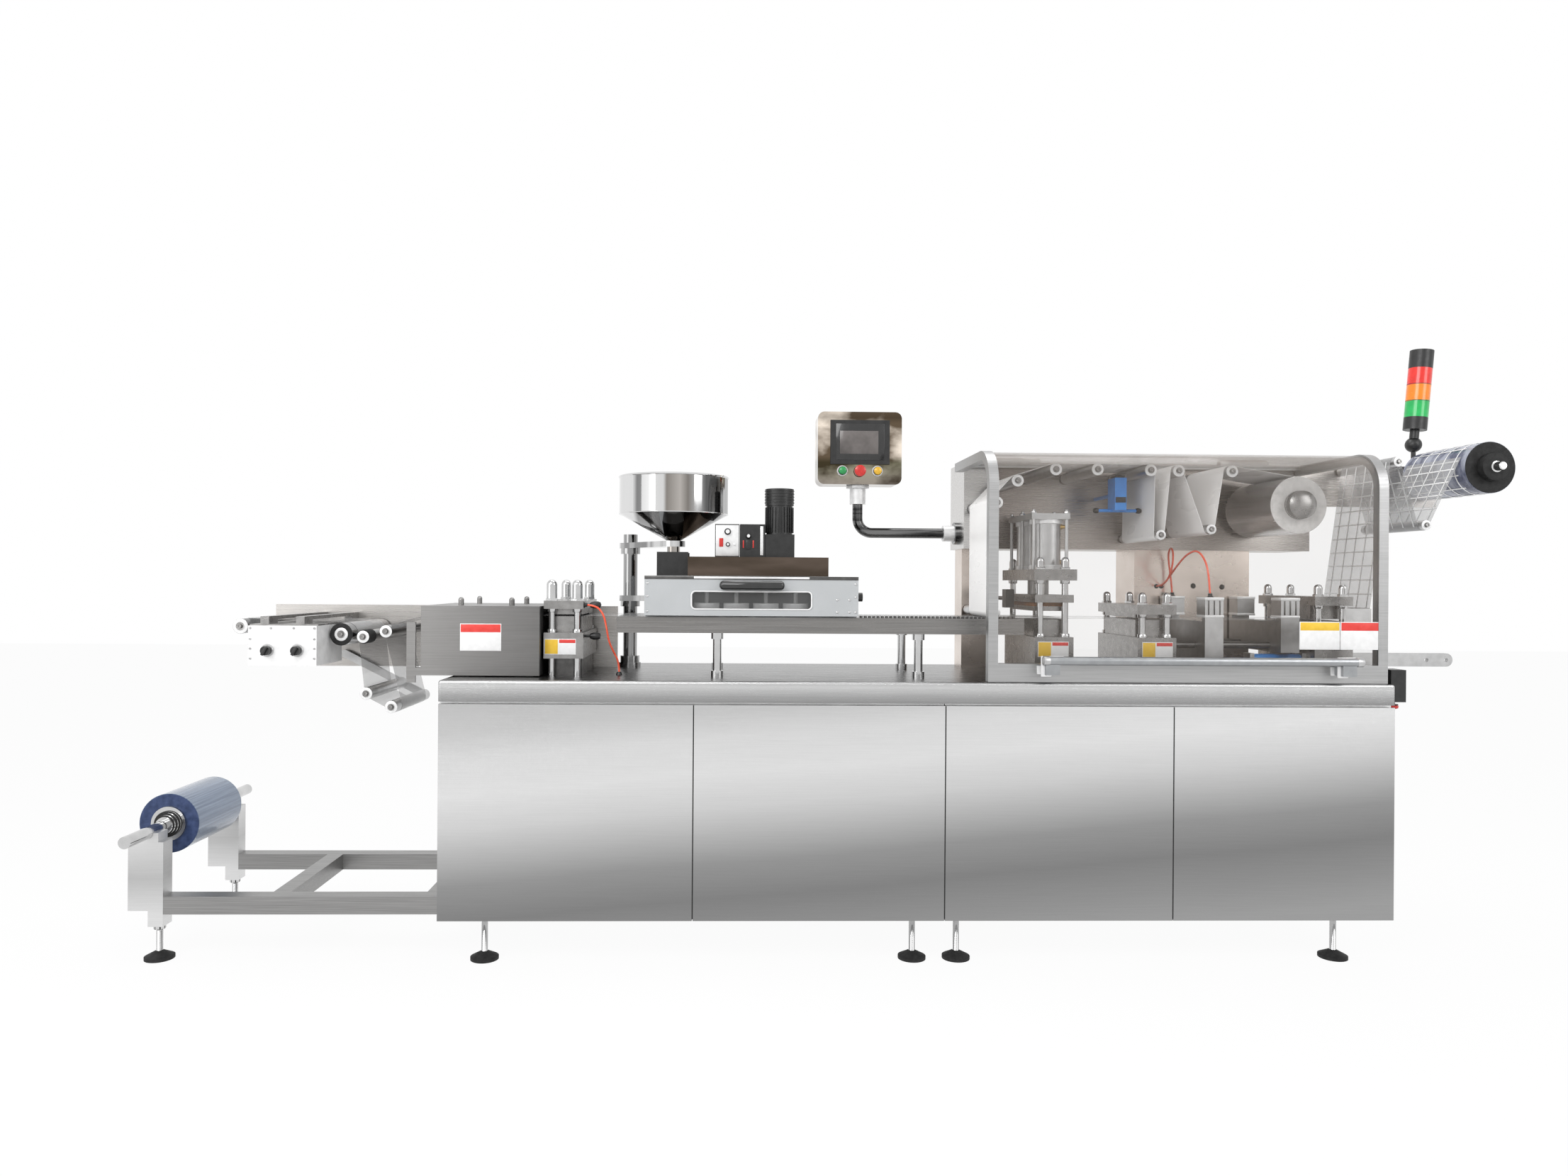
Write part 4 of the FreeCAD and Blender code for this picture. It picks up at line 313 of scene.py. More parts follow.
class Build:
    """Gathers shapes into the mesh of one piece."""

    def __init__(self):
        self.mesh = bmesh.new()

    def block(self, first, last, soft=0.8, lean=None):
        """A box between two corners, with softened edges."""
        made = bmesh.ops.create_cube(self.mesh, size=1)["verts"]
        middle = [(a + b) / 2 for a, b in zip(first, last)]
        bmesh.ops.scale(self.mesh, vec=[b - a for a, b in zip(first, last)], verts=made)
        if lean:
            bmesh.ops.transform(self.mesh, matrix=lean, verts=made)
        bmesh.ops.translate(self.mesh, vec=middle, verts=made)
        self.soften([edge for vert in made for edge in vert.link_edges], soft)

    def soften(self, edges, width):
        """Rounds each of the edges over a width, in the order in which they are given."""
        once = list(dict.fromkeys(edges))
        bmesh.ops.bevel(self.mesh, geom=once, offset=width, segments=2, profile=0.5, affect="EDGES")

    def rings(self, rows, closed=False):
        """Joins rows of points; a row of one point closes to a tip."""
        rows = [[self.mesh.verts.new(spot) for spot in row] for row in rows]
        pairs = list(zip(rows, rows[1:]))
        if closed:
            pairs.append((rows[-1], rows[0]))
        for one, two in pairs:
            steps = max(len(one), len(two))
            for i in range(steps):
                j = (i + 1) % steps
                corners = [one[i % len(one)], one[j % len(one)], two[j % len(two)], two[i % len(two)]]
                corners = [c for k, c in enumerate(corners) if c not in corners[:k]]
                if len(corners) > 2:
                    self.mesh.faces.new(corners)

    def turned(self, centre, axis, profile, steps=24):
        """A profile of (radius, along) turned about an axis through centre."""
        rows = []
        for radius, along in profile:
            row = []
            for i in range(steps if radius else 1):
                angle = 2 * math.pi * (i + 0.5) / steps
                a, b = radius * math.cos(angle), radius * math.sin(angle)
                spot = {"X": (along, a, b), "Y": (a, along, b), "Z": (a, b, along)}[axis]
                row.append([p + q for p, q in zip(centre, spot)])
            rows.append(row)
        self.rings(rows)

    def tube(self, path, radius, closed=False, steps=10):
        """A round tube along a path of points."""
        path = [Vector(spot) for spot in path]
        rows = []
        for i, spot in enumerate(path):
            before = path[i - 1] if i or closed else spot
            after = path[(i + 1) % len(path)] if i + 1 < len(path) or closed else spot
            ahead = (after - before).normalized()
            side = ahead.orthogonal() if not rows else ahead.cross(last_up)
            side.normalize()
            last_up = side.cross(ahead)
            rows.append([spot + radius * (side * math.cos(2 * math.pi * k / steps)
                                          + last_up * math.sin(2 * math.pi * k / steps))
                         for k in range(steps)])
        if not closed:
            rows = [[path[0]]] + rows + [[path[-1]]]
        self.rings(rows, closed)

    def prism(self, outline, axis, start, end, soft=0.6):
        """A flat outline, given along the other two axes, made thick along one."""
        order = {"X": (2, 0, 1), "Y": (0, 2, 1), "Z": (0, 1, 2)}[axis]
        rows = []
        for level in (start, end):
            rows.append([[(a, b, level)[k] for k in order] for a, b in outline])
        lower, upper = [[self.mesh.verts.new(spot) for spot in row] for row in rows]
        faces = [self.mesh.faces.new(lower[::-1]), self.mesh.faces.new(upper)]
        for i in range(len(outline)):
            j = (i + 1) % len(outline)
            faces.append(self.mesh.faces.new([lower[i], lower[j], upper[j], upper[i]]))
        self.soften([edge for face in faces for edge in face.edges], soft)

    def done(self, name, finish_name, slot, body="machine"):
        """Makes the piece: its finish and the body it moves with; slot is not used."""
        bmesh.ops.scale(self.mesh, vec=(MM, MM, MM), verts=self.mesh.verts[:])
        bmesh.ops.recalc_face_normals(self.mesh, faces=self.mesh.faces[:])
        made = bpy.data.meshes.new(name)
        self.mesh.to_mesh(made)
        self.mesh.free()
        made.shade_smooth()
        made.set_sharp_from_angle(angle=math.radians(SHARP))
        made.materials.append(look[finish_name])
        item = bpy.data.objects.new(name, made)
        bpy.context.collection.objects.link(item)
        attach(item, body)
        return item


def rounded_loop(low, high, y, corner, steps=6):
    """Points round a rectangle with round corners that faces the front."""
    spots = []
    (x1, z1), (x2, z2) = low, high
    for cx, cz, turn in ((x2 - corner, z2 - corner, 0), (x1 + corner, z2 - corner, 1),
                         (x1 + corner, z1 + corner, 2), (x2 - corner, z1 + corner, 3)):
        for i in range(steps + 1):
            angle = math.pi / 2 * (turn + i / steps)
            spots.append((cx + corner * math.cos(angle), y, cz + corner * math.sin(angle)))
    return spots


def windings(build, centre, inner, outer, y, out):
    """The fine rings that a wound roll shows on its end; out is the side it faces."""
    profile = [(inner, 0)]
    count = 14
    for i in range(count + 1):
        radius = inner + (outer - inner) * i / count
        profile.append((radius, out * (1.6 if i % 2 else 0.9)))
    profile.append((outer, 0))
    build.turned((centre[0], y, centre[1]), "Y", profile, 56)


# Front face of each roller: x, y, z, radius
ROLLERS = [(-1744, -170, 944, 22), (-1453, -170, 922, 20), (-1390, -170, 915, 18),
           (-1324, -170, 931, 18), (-1380, -170, 749, 18), (-1307, -170, 710, 18),
           (478, -140, 1326, 18), (540, -140, 1392, 18), (655, -140, 1427, 18),
           (781, -140, 1428, 18), (942, -140, 1427, 18), (974, -140, 1233, 15),
           (1027, -140, 1426, 18), (1127, -140, 1251, 15), (1189, -140, 1426, 18),
           (475, -140, 996.6, 15), (1697, -140, 1460, 15), (1784, -140, 1269, 15)]
# Each press: middle x, top of the top plate, nut radius, lower and upper end of the columns
PRESSES = {"forming": (-808, 1024, 19, 930, 1000), "sealing": (645, 1127, 15, 925, 1094),
           "embossing": (954, 1023, 15, 925, 994), "punch": (1488, 1051, 15, 925, 1024)}
COLUMNS = [(across, side) for across in (-37.5, 37.5) for side in (-145, 145)]
CYLINDERS = (-75, 75)                   # y of the two air cylinders
REEL_FRONT, HUB_FRONT = -150, -176      # y of the foil and waste reels' faces
HOUSING_FRONT = -200                    # front face of the feeder housing
# Axis of each reel: x, z
BEARINGS = {"film": (-1962, 362), "foil": (1386, 1325), "waste": (1971, 1444)}
HOSE_RADIUS = 0.003                     # in metres
# Points that shape each hose, from its fitting at the start to that at the end
HOSES = {
    "hose_far": [(1090, 168, 1078), (1091, 118, 1082), (1094, 80, 1106), (1098, 63, 1146),
                 (1103, 70, 1182), (1108, 92, 1202), (1113, 122, 1200), (1118, 143, 1178),
                 (1123, 146, 1140), (1127, 138, 1092), (1128, 133, 1046)],
    "hose_near": [(1106, 168, 1078), (1104, 116, 1099), (1102, 69, 1126), (1103, 22, 1155),
                  (1107, -26, 1181), (1115, -78, 1191), (1124, -115, 1153), (1127, -128, 1100),
                  (1128, -133, 1046)],
    "forming_hose": [(-750, -148, 1012), (-716, -148, 1012), (-692, -146, 984),
                     (-684, -140, 942), (-678, -130, 902), (-666, -114, 872),
                     (-650, -100, 838), (-650, -100, 802)],
}
# Half section of a button head screw: (radius, along)
BUTTON_HEAD = [(0, -2.4), (1.6, -2.4), (1.7, -1.4), (2.0, -1.4), (2.1, -2.3), (3.2, -1.6), (3.6, 0)]


def infeed_pieces():
    """Screws and knobs of the switch box, ends of all rollers and the rubber rings."""
    box_front = -260
    screws = Build()
    spots = [(x, z) for x in (-1676, -1496) for z in (943, 912, 885, 857)]
    for x, z in spots + [(-1618, 943), (-1554, 943)]:
        screws.turned((x, box_front, z), "Y", BUTTON_HEAD, 12)
    screws.done("switch_box_screws", "polished", "polished")
    rings, grips = Build(), Build()
    for x in (-1628, -1544):
        rings.turned((x, box_front, 880), "Y",
                     [(13.3, 0), (13.3, -5), (16, -5), (18, -2.5), (18, 0)], 32)
        grips.block((x - 4, -285, 866), (x + 4, -277, 894), 1.5, Matrix.Rotation(0.5, 4, "Y"))
    rings.done("knob_rings", "satin", "satin_metal")
    grips.done("knob_grips", "plastic", "black_plastic")
    ends, hubs = Build(), Build()
    for x, y, z, radius in ROLLERS:
        ends.turned((x, y, z), "Y", [(6.4, -0.2), (6.4, -2.6), (radius * 0.6, -2.6),
                                     (radius * 0.66, -1.2), (radius * 0.86, -1.2),
                                     (radius - 0.4, -0.3), (radius - 0.4, 0.5)], 32)
        hubs.turned((x, y, z), "Y", [(0, -6.6), (2.6, -6.6), (2.9, -8.6), (5.0, -8.6),
                                     (6.3, -7.4), (6.3, -5.2)], 16)
        hubs.turned((x, y, z), "Y", [(6.4, -2.7), (radius * 0.56, -2.9)], 32)
    ends.done("roller_ends", "bright", "satin_metal")
    hubs.done("roller_hubs", "plates", "dark_metal")
    black = Build()
    black.turned((-1453, -170, 922), "Y", [(20, -0.2), (20, -2.0), (30, -2.0), (32.6, -0.6),
                                           (32.6, 1)], 48)
    for i in range(6):
        black.turned((-1390, -158 + 9 * i, 915), "Y",
                     [(17.8, -3), (20.6, -1.6), (20.6, 1.6), (17.8, 3)], 36)
    black.done("rubber_rings", "rubber", "rubber")


def press_pieces():
    """Nuts and collars of the columns, plain sign plates and the sealing cylinders' parts."""
    nuts, collars = Build(), Build()
    for x, top, radius, foot, head in PRESSES.values():
        flats = [(radius - 4, 0), (radius, 0), (radius, 5), (radius - 1.6, 7), (radius - 5, 7)]
        for across, side in COLUMNS:
            nuts.turned((x + across, side, top), "Z", flats, 6)
            for z, out in ((foot, 1), (head, -1)):
                collars.turned((x + across, side, z), "Z",
                               [(9.7, 0), (14, 0), (14, 8 * out), (12.8, 10 * out), (9.7, 10 * out)], 28)
    nuts.done("dome_nut_flats", "polished", "polished")
    collars.done("column_collars", "polished", "polished")
    signs, ambers, reds = Build(), Build(), Build()
    for x in (-817, 642, 955):
        signs.block((x - 46, -166.6, 866), (x + 46, -165.1, 912), 0.5)
        ambers.block((x - 44.5, -167.0, 868), (x - 7, -166.4, 910), 0.2)
        reds.block((x - 3, -167.0, 900), (x + 44.5, -166.4, 910), 0.2)
    signs.block((-1101, -201.8, 878), (-982, -200.1, 957), 0.6)
    reds.block((-1099, -202.2, 932), (-984, -201.6, 955), 0.2)
    signs.done("plain_plates", "sign", "grey_paint")
    ambers.done("amber_blocks", "sign_yellow", "grey_paint")
    reds.done("red_blocks", "sign_red", "red_hose")
    knobs = Build()
    for y, z in ((-112, 1011), (-112, 918)):
        knobs.turned((-750, y, z), "X", [(0, 0.2), (4, 0.2), (4, 12), (8, 15), (11, 24), (11, 36),
                                         (8, 44), (0, 47)], 24)
    knobs.done("forming_knobs", "plastic", "black_plastic")
    rods, flanges = Build(), Build()
    for x in (595, 695):
        for y in (-119, 0, 119):
            rods.turned((x, y, 1296), "Z", [(5, 0), (9, 0), (9, 5), (8, 6.5), (5, 6.5)], 6)
            rods.turned((x, y, 1296), "Z", [(5, 6), (5, 11), (4, 12.5), (0, 12.5)], 16)
    rods.done("tie_rod_nuts", "polished", "polished")
    for y in CYLINDERS:
        for z, out in ((1127, 1), (1279, -1)):
            flanges.turned((645, y, z), "Z", [(44, 0), (48, 0), (48, 12 * out), (46.4, 14 * out),
                                              (44, 14 * out)], 48)
    flanges.done("cylinder_flanges", "bright", "satin_metal")
    ports = Build()
    for y in CYLINDERS:
        for z in (1150, 1258):
            ports.turned((688, y, z), "X", [(8, 0), (8, 8), (5.5, 9), (5.5, 20), (3.4, 21), (3.4, 24),
                                            (0, 24)], 12)
    ports.done("cylinder_ports", "brass", "satin_metal")
    band = Build()
    band.block((592.5, -127.5, 1016), (697.5, 127.5, 1027.6), 0.8)
    band.done("heat_shield", "resin", "dark_metal", "sealing_press")


def feeder_pieces():
    """What is fitted to the feeder housing, its drive, the hopper and the guide track."""
    rim = Build()
    rim.tube(rounded_loop((-432, 1003), (-81, 1055), -201, 12), 2.4, closed=True)
    rim.done("window_rim", "bright", "grey_paint")
    strands = Build()
    pitch = 88
    for number in range(4):
        x = -256.5 + (number - 1.5) * pitch
        for ring, count in ((36, 54), (31, 44)):
            for i in range(count):
                angle = 2 * math.pi * (i + ring / 7) / count
                lean = 1.5 * math.sin(5.0 * i)
                top = (x + ring * math.cos(angle), -149 + ring * math.sin(angle), 1001)
                tip = (top[0] + lean, top[1] + 1.2 * math.cos(3.0 * i), 982.5)
                strands.tube([top, tip], 1.1, steps=4)
    strands.done("brush_bristles", "brush", "brush")
    screws = Build()
    for x, z in [(x, z) for x in (-561, 48) for z in (1078, 1040, 996)] + \
                [(x, z) for x in (-6, 30) for z in (1032, 996)]:
        screws.turned((x, HOUSING_FRONT, z), "Y", BUTTON_HEAD, 12)
    screws.done("feeder_screws", "polished", "polished")
    grip = Build()
    grip.turned((-341, -221, 1073), "X", [(0, -10), (6, -9), (10.6, -5.6), (13.4, 0), (13.6, 170),
                                          (10.6, 175.6), (6, 179), (0, 180)], 32)
    grip.done("handle_grip", "gloss", "black_plastic")
    edge, strip = Build(), Build()
    edge.block((-569, -202, 1090), (56, -200.1, 1099.5), 0.5)
    edge.done("lid_edge", "dark", "dark_metal")
    strip.block((-425, -204, 1092), (-88, -202.1, 1098), 0.5)
    strip.done("lid_strip", "bright", "grey_paint")
    face = Build()
    face.block((-363, -82.5, 1161), (-293, -80.1, 1255), 1.0)
    face.done("speed_panel_face", "bright", "grey_paint")
    knobs, caps, red = Build(), Build(), Build()
    for x, z, radius in ((-327, 1235, 9), (-326, 1196, 5.5), (-264, 1222, 7)):
        knobs.turned((x, -80.3, z), "Y", [(0, -12), (radius - 1.5, -12), (radius, -10),
                                          (radius + 0.6, -3), (radius + 2, -1.5),
                                          (radius + 2, 0)], 24)
        caps.turned((x, -92.3, z), "Y", [(0, -0.8), (0.62 * radius, -0.8), (0.7 * radius, 0)], 24)
    caps.turned((-306, -82.3, 1196), "Y", [(0, -9), (1.6, -9), (1.2, -3), (3.4, -2), (3.4, 0)], 12)
    caps.done("speed_knob_caps", "bright", "grey_paint")
    knobs.block((-272, -84, 1182), (-257, -80.1, 1210), 1.0)
    knobs.done("speed_knobs", "plastic", "black_plastic")
    red.block((-352.5, -86, 1189), (-340.5, -82.2, 1215), 1.2, Matrix.Rotation(0.1, 4, "X"))
    for x in (-281, -251):
        red.block((x, -82, 1186), (x + 3.5, -80.1, 1209), 0.6)
    red.done("speed_red_marks", "red", "red_hose")
    stripe = Build()
    stripe.block((-228, -81.4, 1164), (-219, -80.1, 1252), 0.4)
    stripe.done("speed_stripe", "bright", "grey_paint")
    ribs = Build()
    motor_x, motor_y, count = -168, -36, 26
    for i in range(count):
        angle = 2 * math.pi * i / count
        lean = Matrix.Rotation(angle, 4, "Z")
        x, y = motor_x + 41.5 * math.cos(angle), motor_y + 41.5 * math.sin(angle)
        ribs.block((x - 2.5, y - 1.1, 1234), (x + 2.5, y + 1.1, 1312), 0.5, lean)
    for i in range(5):
        ribs.turned((motor_x, motor_y, 1326 + 9 * i), "Z",
                    [(43.8, -2.4), (45.6, -1.4), (45.6, 1.4), (43.8, 2.4)], 48)
    ribs.done("motor_ribs", "plastic", "dark_metal")
    rim = Build()
    turn = [2 * math.pi * i / 72 for i in range(72)]
    for z, radius, thick in ((1403, 167.5, 3.4), (1290, 168, 1.6)):
        circle = [(-494 + radius * math.cos(angle), radius * math.sin(angle), z) for angle in turn]
        rim.tube(circle, thick, closed=True)
    rim.done("hopper_rim", "mirror", "polished")
    teeth = Build()
    first, pitch = 66, 12.6
    for i in range(37):
        x = first + pitch * i
        teeth.block((x, -169, 978.4), (x + 7, -150, 985), 0.8)
    teeth.done("track_teeth", "dark", "dark_metal")


def panel_pieces():
    """Glass, screen, buttons and sleeves of the operator panel, and the stop button's cap."""
    glass, screen = Build(), Build()
    glass.block((30, 192.6, 1488), (190, 194.2, 1608), 0.6)
    glass.done("panel_glass", "gloss", "black_plastic", "operator_panel")
    screen.block((43, 192.2, 1508), (170, 193.4, 1584), 0.4)
    screen.done("panel_screen", "screen", "black_plastic", "operator_panel")
    sleeve = Build()
    sleeve.turned((110, 250, 0), "Z", [(18, 1345.4), (26.4, 1345.4), (26.6, 1397), (38, 1399),
                                       (38, 1407.4), (26, 1407.8)], 48)
    sleeve.done("panel_sleeve", "bright", "satin_metal", "operator_panel")
    sleeve = Build()
    sleeve.turned((0, 250, 1250), "X", [(17.4, 397.6), (26.4, 397.6), (26.6, 433.8)], 48)
    sleeve.done("arm_sleeve", "bright", "satin_metal")
    rings = Build()
    for x in (52, 110, 168):
        rings.turned((x, 200, 1452), "Y", [(14.2, 0), (14.2, -6), (16.5, -6), (18, -4), (18, 0)], 36)
    rings.done("button_rings", "bright", "satin_metal", "operator_panel")
    for name, x, radius in (("green", 52, 13), ("red", 110, 19), ("yellow", 168, 13)):
        cap = Build()
        cap.turned((x, 186, 1452), "Y", [(0, -7), (radius * 0.6, -6.4), (radius - 1, -4),
                                         (radius, -2), (radius, 2.5), (radius - 3, 4)], 36)
        cap.done(name + "_button", name, "black_plastic", "operator_panel")
    stop = Build()
    stop.turned((1610, -250, 0), "Z", [(0, 726.5), (11, 727), (16.5, 730), (17.2, 736), (14, 741.4),
                                       (8.4, 741.4)], 36)
    stop.done("stop_cap", "red", "red_hose")


def reel_pieces():
    """Windings on the ends of the three reels, and their hubs and seals."""
    film, foil_axis, (waste_x, waste_z) = (BEARINGS[name] for name in ("film", "foil", "waste"))
    wound = Build()
    for y, out in ((-135, -1), (135, 1)):
        windings(wound, film, 50.5, 86, y, out)
    wound.done("film_windings", "wound_film", "blue_film", "film_reel")
    seals_and_gap_shadows = Build()
    for y, radius in ((-148, 38), (-156, 34), (-164, 29), (148, 38), (156, 34), (164, 29)):
        seals_and_gap_shadows.turned((film[0], y, film[1]), "Y",
                     [(radius - 5, -2.6), (radius, -1.6), (radius, 1.6), (radius - 5, 2.6)], 40)
    seals_and_gap_shadows.done("cone_seals", "rubber", "rubber", "film_reel")
    foil = Build()
    windings(foil, foil_axis, 41.5, 85, REEL_FRONT, -1)
    windings(foil, foil_axis, 20, 85, 130, 1)
    foil.done("foil_windings", "paper", "foil", "foil_reel")
    boss = Build()
    boss.turned((foil_axis[0], HUB_FRONT, foil_axis[1]), "Y",
                [(0, -12), (16, -11.4), (30, -8), (37, -3), (41.3, -0.4), (41.3, 25)], 48)
    boss.turned((foil_axis[0], REEL_FRONT, foil_axis[1]), "Y",
                [(41, 0), (43, -1), (43, -6), (41, -7)], 48)
    boss.done("foil_boss", "plates", "polished", "foil_reel")
    waste = Build()
    windings(waste, (waste_x, waste_z), 41.5, 77, REEL_FRONT, -1)
    waste.turned((waste_x, HUB_FRONT, waste_z), "Y",
                 [(16, -0.3), (16, -1.4), (38, -1.4), (41.3, -0.4), (41.3, 26)], 48)
    waste.done("waste_windings", "rubber", "waste", "waste_reel")
    grid = Build()
    for y in (-106, -56, -6, 44, 94):
        grid.turned((waste_x, y, waste_z), "Y",
                    [(78.6, -2), (79.4, -1.6), (79.4, 1.6), (78.6, 2)], 56)
    bars = 11
    for i in range(bars):
        angle = 2 * math.pi * i / bars
        x, z = waste_x + 79 * math.cos(angle), waste_z + 79 * math.sin(angle)
        grid.block((x - 0.5, -120, z - 2), (x + 0.5, 120, z + 2), 0.1, Matrix.Rotation(-angle, 4, "Y"))
    grid.done("waste_grid", "bright", "waste", "waste_reel")
    spindle = Build()
    spindle.turned((waste_x, HUB_FRONT, waste_z), "Y",
                   [(0, -30), (9, -30), (12, -27), (14, -4), (17, -3), (17, 0)], 32)
    spindle.done("waste_spindle", "mirror", "polished", "waste_reel")


def web_pieces():
    """White ribs of the punched waste web, on both of its faces.

    Each roller is x, z, radius to the middle of the web, and the side on which the web passes.
    """
    rollers = [(1603, 995.3, 15.3, 1), (1697, 1460, 16.3, -1), (1784, 1269, 15.3, 1),
               (1971, 1444, 79.3, -1)]
    pitch = 44
    ribs = Build()
    for (x1, z1, r1, t1), (x2, z2, r2, t2) in zip(rollers, rollers[1:]):
        far = math.hypot(x2 - x1, z2 - z1)
        heading = math.atan2(z2 - z1, x2 - x1) - math.asin((t2 * r2 - t1 * r1) / far)
        across = (math.sin(heading), -math.cos(heading))
        start = (x1 + t1 * r1 * across[0], z1 + t1 * r1 * across[1])
        end = (x2 + t2 * r2 * across[0], z2 + t2 * r2 * across[1])
        length = math.dist(start, end)
        lean = Matrix.Rotation(-heading, 4, "Y")
        for face in (-0.25, 1.25):
            def spot(along):
                return [start[k] + (end[k] - start[k]) * along / length + across[k] * face
                        for k in (0, 1)]

            x, z = spot(length / 2)
            for y in (-108, -58, -8, 42, 92):
                ribs.block((x - length / 2, y, z - 0.2), (x + length / 2, y + 4, z + 0.2), 0.05, lean)
            for i in range(int(length // pitch)):
                x, z = spot(pitch / 2 + pitch * i)
                ribs.block((x - 2, -120, z - 0.2), (x + 2, 120, z + 0.2), 0.05, lean)
    ribs.done("waste_ribs", "bright", "waste")


def hood_pieces():
    """Plain plates on the hood's pane, and the ends and cheeks of its handle."""
    signs = Build()
    for left, right, colour in ((1315, 1432, "yellow"), (1434, 1551, "red")):
        signs.block((left, -289, 900), (right, -286.2, 980), 0.7)
        top = Build()
        top.block((left + 2, -289.4, 955), (right - 2, -288.8, 978), 0.2)
        top.done(f"hood_plate_{colour}", f"sign_{colour}", "grey_paint", "hood")
    signs.done("hood_plates", "sign", "grey_paint", "hood")
    cheeks = Build()
    for x in (563, 1411):
        outline = [(x - 6, 822), (x + 22, 822), (x + 58, 880), (x - 6, 880)]
        cheeks.prism(outline, "Y", -327, -321, 1.0)
        cheeks.block((x - 8, -296, 826), (x + 50, -290.1, 850), 1.2)
    cheeks.done("grip_cheeks", "bright", "satin_metal", "hood")
    joints = Build()
    for x in (563, 1457):
        joints.turned((x, -332, 867), "X", [(0, -5), (9, -5), (13.4, -2), (13.4, 14), (12.3, 16)], 28)
    joints.done("grip_ends", "satin", "satin_metal", "hood")


def gripper_pieces():
    """Grooves and end plates of both grippers, index cylinder caps and sensor knobs."""
    for name, x, body in (("fixed", 1128, "machine"), ("moving", 1358, "index_gripper")):
        ribs, plates = Build(), Build()
        for y, out in ((-160, -1), (160, 1)):
            for across in (-17, 0, 17):
                ribs.block((x + across - 2.2, min(y, y + 0.7 * out), 994),
                           (x + across + 2.2, max(y, y + 0.7 * out), 1037), 0.25)
        for y in (-132.5, 132.5):
            plates.block((x - 29.5, y - 29, 1038), (x + 29.5, y + 29, 1046.6), 1.2)
            plates.block((x - 29.5, y - 29, 985.6), (x + 29.5, y + 29, 993), 1.2)
        ribs.done(name + "_gripper_grooves", "dark", "dark_metal", body)
        plates.done(name + "_gripper_ends", "bright", "satin_metal", body)
    caps = Build()
    for x in (1258, 1418):
        caps.block((x - 0.8, -120.8, 836.2), (x + 12.8, -79.2, 877.8), 1.4)
    caps.done("index_caps", "satin", "satin_metal")
    knobs = Build()
    for x, out in ((820, -1), (944, 1)):
        knobs.turned((x, -30, 1312), "X", [(5, -3 * out), (8, -2 * out), (9, 6 * out), (6, 12 * out),
                                           (0, 13 * out)], 20)
    knobs.block((868, -58, 1412.2), (896, -6, 1420), 1.5)
    knobs.block((866, -61.6, 1335), (898, -60.1, 1352), 0.6)
    knobs.done("sensor_knobs", "plastic", "black_plastic")


def hose_pieces():
    """The three air hoses, each a smooth cord, and their fittings."""
    fittings = Build()
    for node in ("hose_far", "hose_near"):
        fittings.turned(HOSES[node][0], "Y", [(3.3, 0), (3.3, -5), (5.5, -5), (7.4, -2), (7.4, 0)], 20)
    for x, z in ((1213, 1080), (1309, 1077)):
        fittings.turned((x, 168, z), "Y", [(0, -7), (4, -7), (5.5, -6), (8, -2), (9, 0)], 20)
    for y in (-133, 133):
        fittings.turned((1128, y, 1046.4), "Z", [(3.3, 12), (6, 12), (6.4, 4), (9, 3.4), (9, 0)], 18)
    start, end = HOSES["forming_hose"][0], HOSES["forming_hose"][-1]
    fittings.turned(start, "X", [(3.3, 10), (6, 9), (6.4, 3), (9, 2.4), (9, 0)], 18)
    fittings.turned(end, "Z", [(3.3, 9), (6, 9), (9, 3), (10, 0)], 18)
    fittings.done("hose_fittings", "plastic", "black_plastic")
    for node, spots in HOSES.items():
        line = bpy.data.curves.new(node + "_line", "CURVE")
        line.dimensions = "3D"
        line.bevel_depth = HOSE_RADIUS
        line.bevel_resolution = 3
        line.use_fill_caps = True
        spline = line.splines.new("NURBS")
        spline.points.add(len(spots) - 1)
        for point, spot in zip(spline.points, spots):
            point.co = (*[c / 1000 for c in spot], 1)
        spline.order_u = 3
        spline.use_endpoint_u = True
        spline.resolution_u = 8
        line.materials.append(look["hose"])
        item = bpy.data.objects.new(node + "_tube", line)
        bpy.context.collection.objects.link(item)
        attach(item, "machine")
        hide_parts(node)


def seam_pieces():
    """Dark strips in the gaps between the doors: painted shadow in the gaps."""
    seals_and_gap_shadows = Build()
    for x in (-421, 294, 948):
        # painted shadow: a dark strip fills each gap between the doors
        seals_and_gap_shadows.block((x - 1.7, -300.3, 131), (x + 1.7, -299.3, 734), 0.2)
    seals_and_gap_shadows.done("door_gap_painted_shadows", "rubber", "rubber")


def foot_pieces():
    """Threaded studs and lock nuts of the levelling feet."""
    pitch = 3
    studs = Build()
    spots = [(x, y, 126) for x in (-1015, 212, 340, 1446) for y in (-240, 303)]
    for x, y, top in spots + [(-1937, -232, 97), (-1937, 232, 97)]:
        profile = [(8.2, 22)]
        for i in range(int((top - 36) / pitch)):
            z = 23 + pitch * i
            profile += [(8.3, z), (9.3, z + 1.2)]
        profile.append((8.2, top - 11))
        studs.turned((x, y, 0), "Z", profile, 20)
        studs.turned((x, y, top - 12), "Z", [(9, -0.4), (15, -0.4), (16.2, 1), (16.2, 10.5), (15, 11.8),
                                             (9, 11.8)], 6)
    studs.done("foot_studs", "polished", "polished")


infeed_pieces()
press_pieces()
feeder_pieces()
panel_pieces()
reel_pieces()
web_pieces()
hood_pieces()
gripper_pieces()
hose_pieces()
seam_pieces()
foot_pieces()


# Floor, light and camera

FLOOR_GLOW = 0.93    # share of plain white in the floor that is seen
FLOOR_REACH = 14     # metres from the middle to each side of the floor
# The photograph's camera, in metres and degrees
CAMERA_PLACE = (-0.347, -3.260, 1.085)
CAMERA_YAW = -1.4
CAMERA_ROLL = 0.4


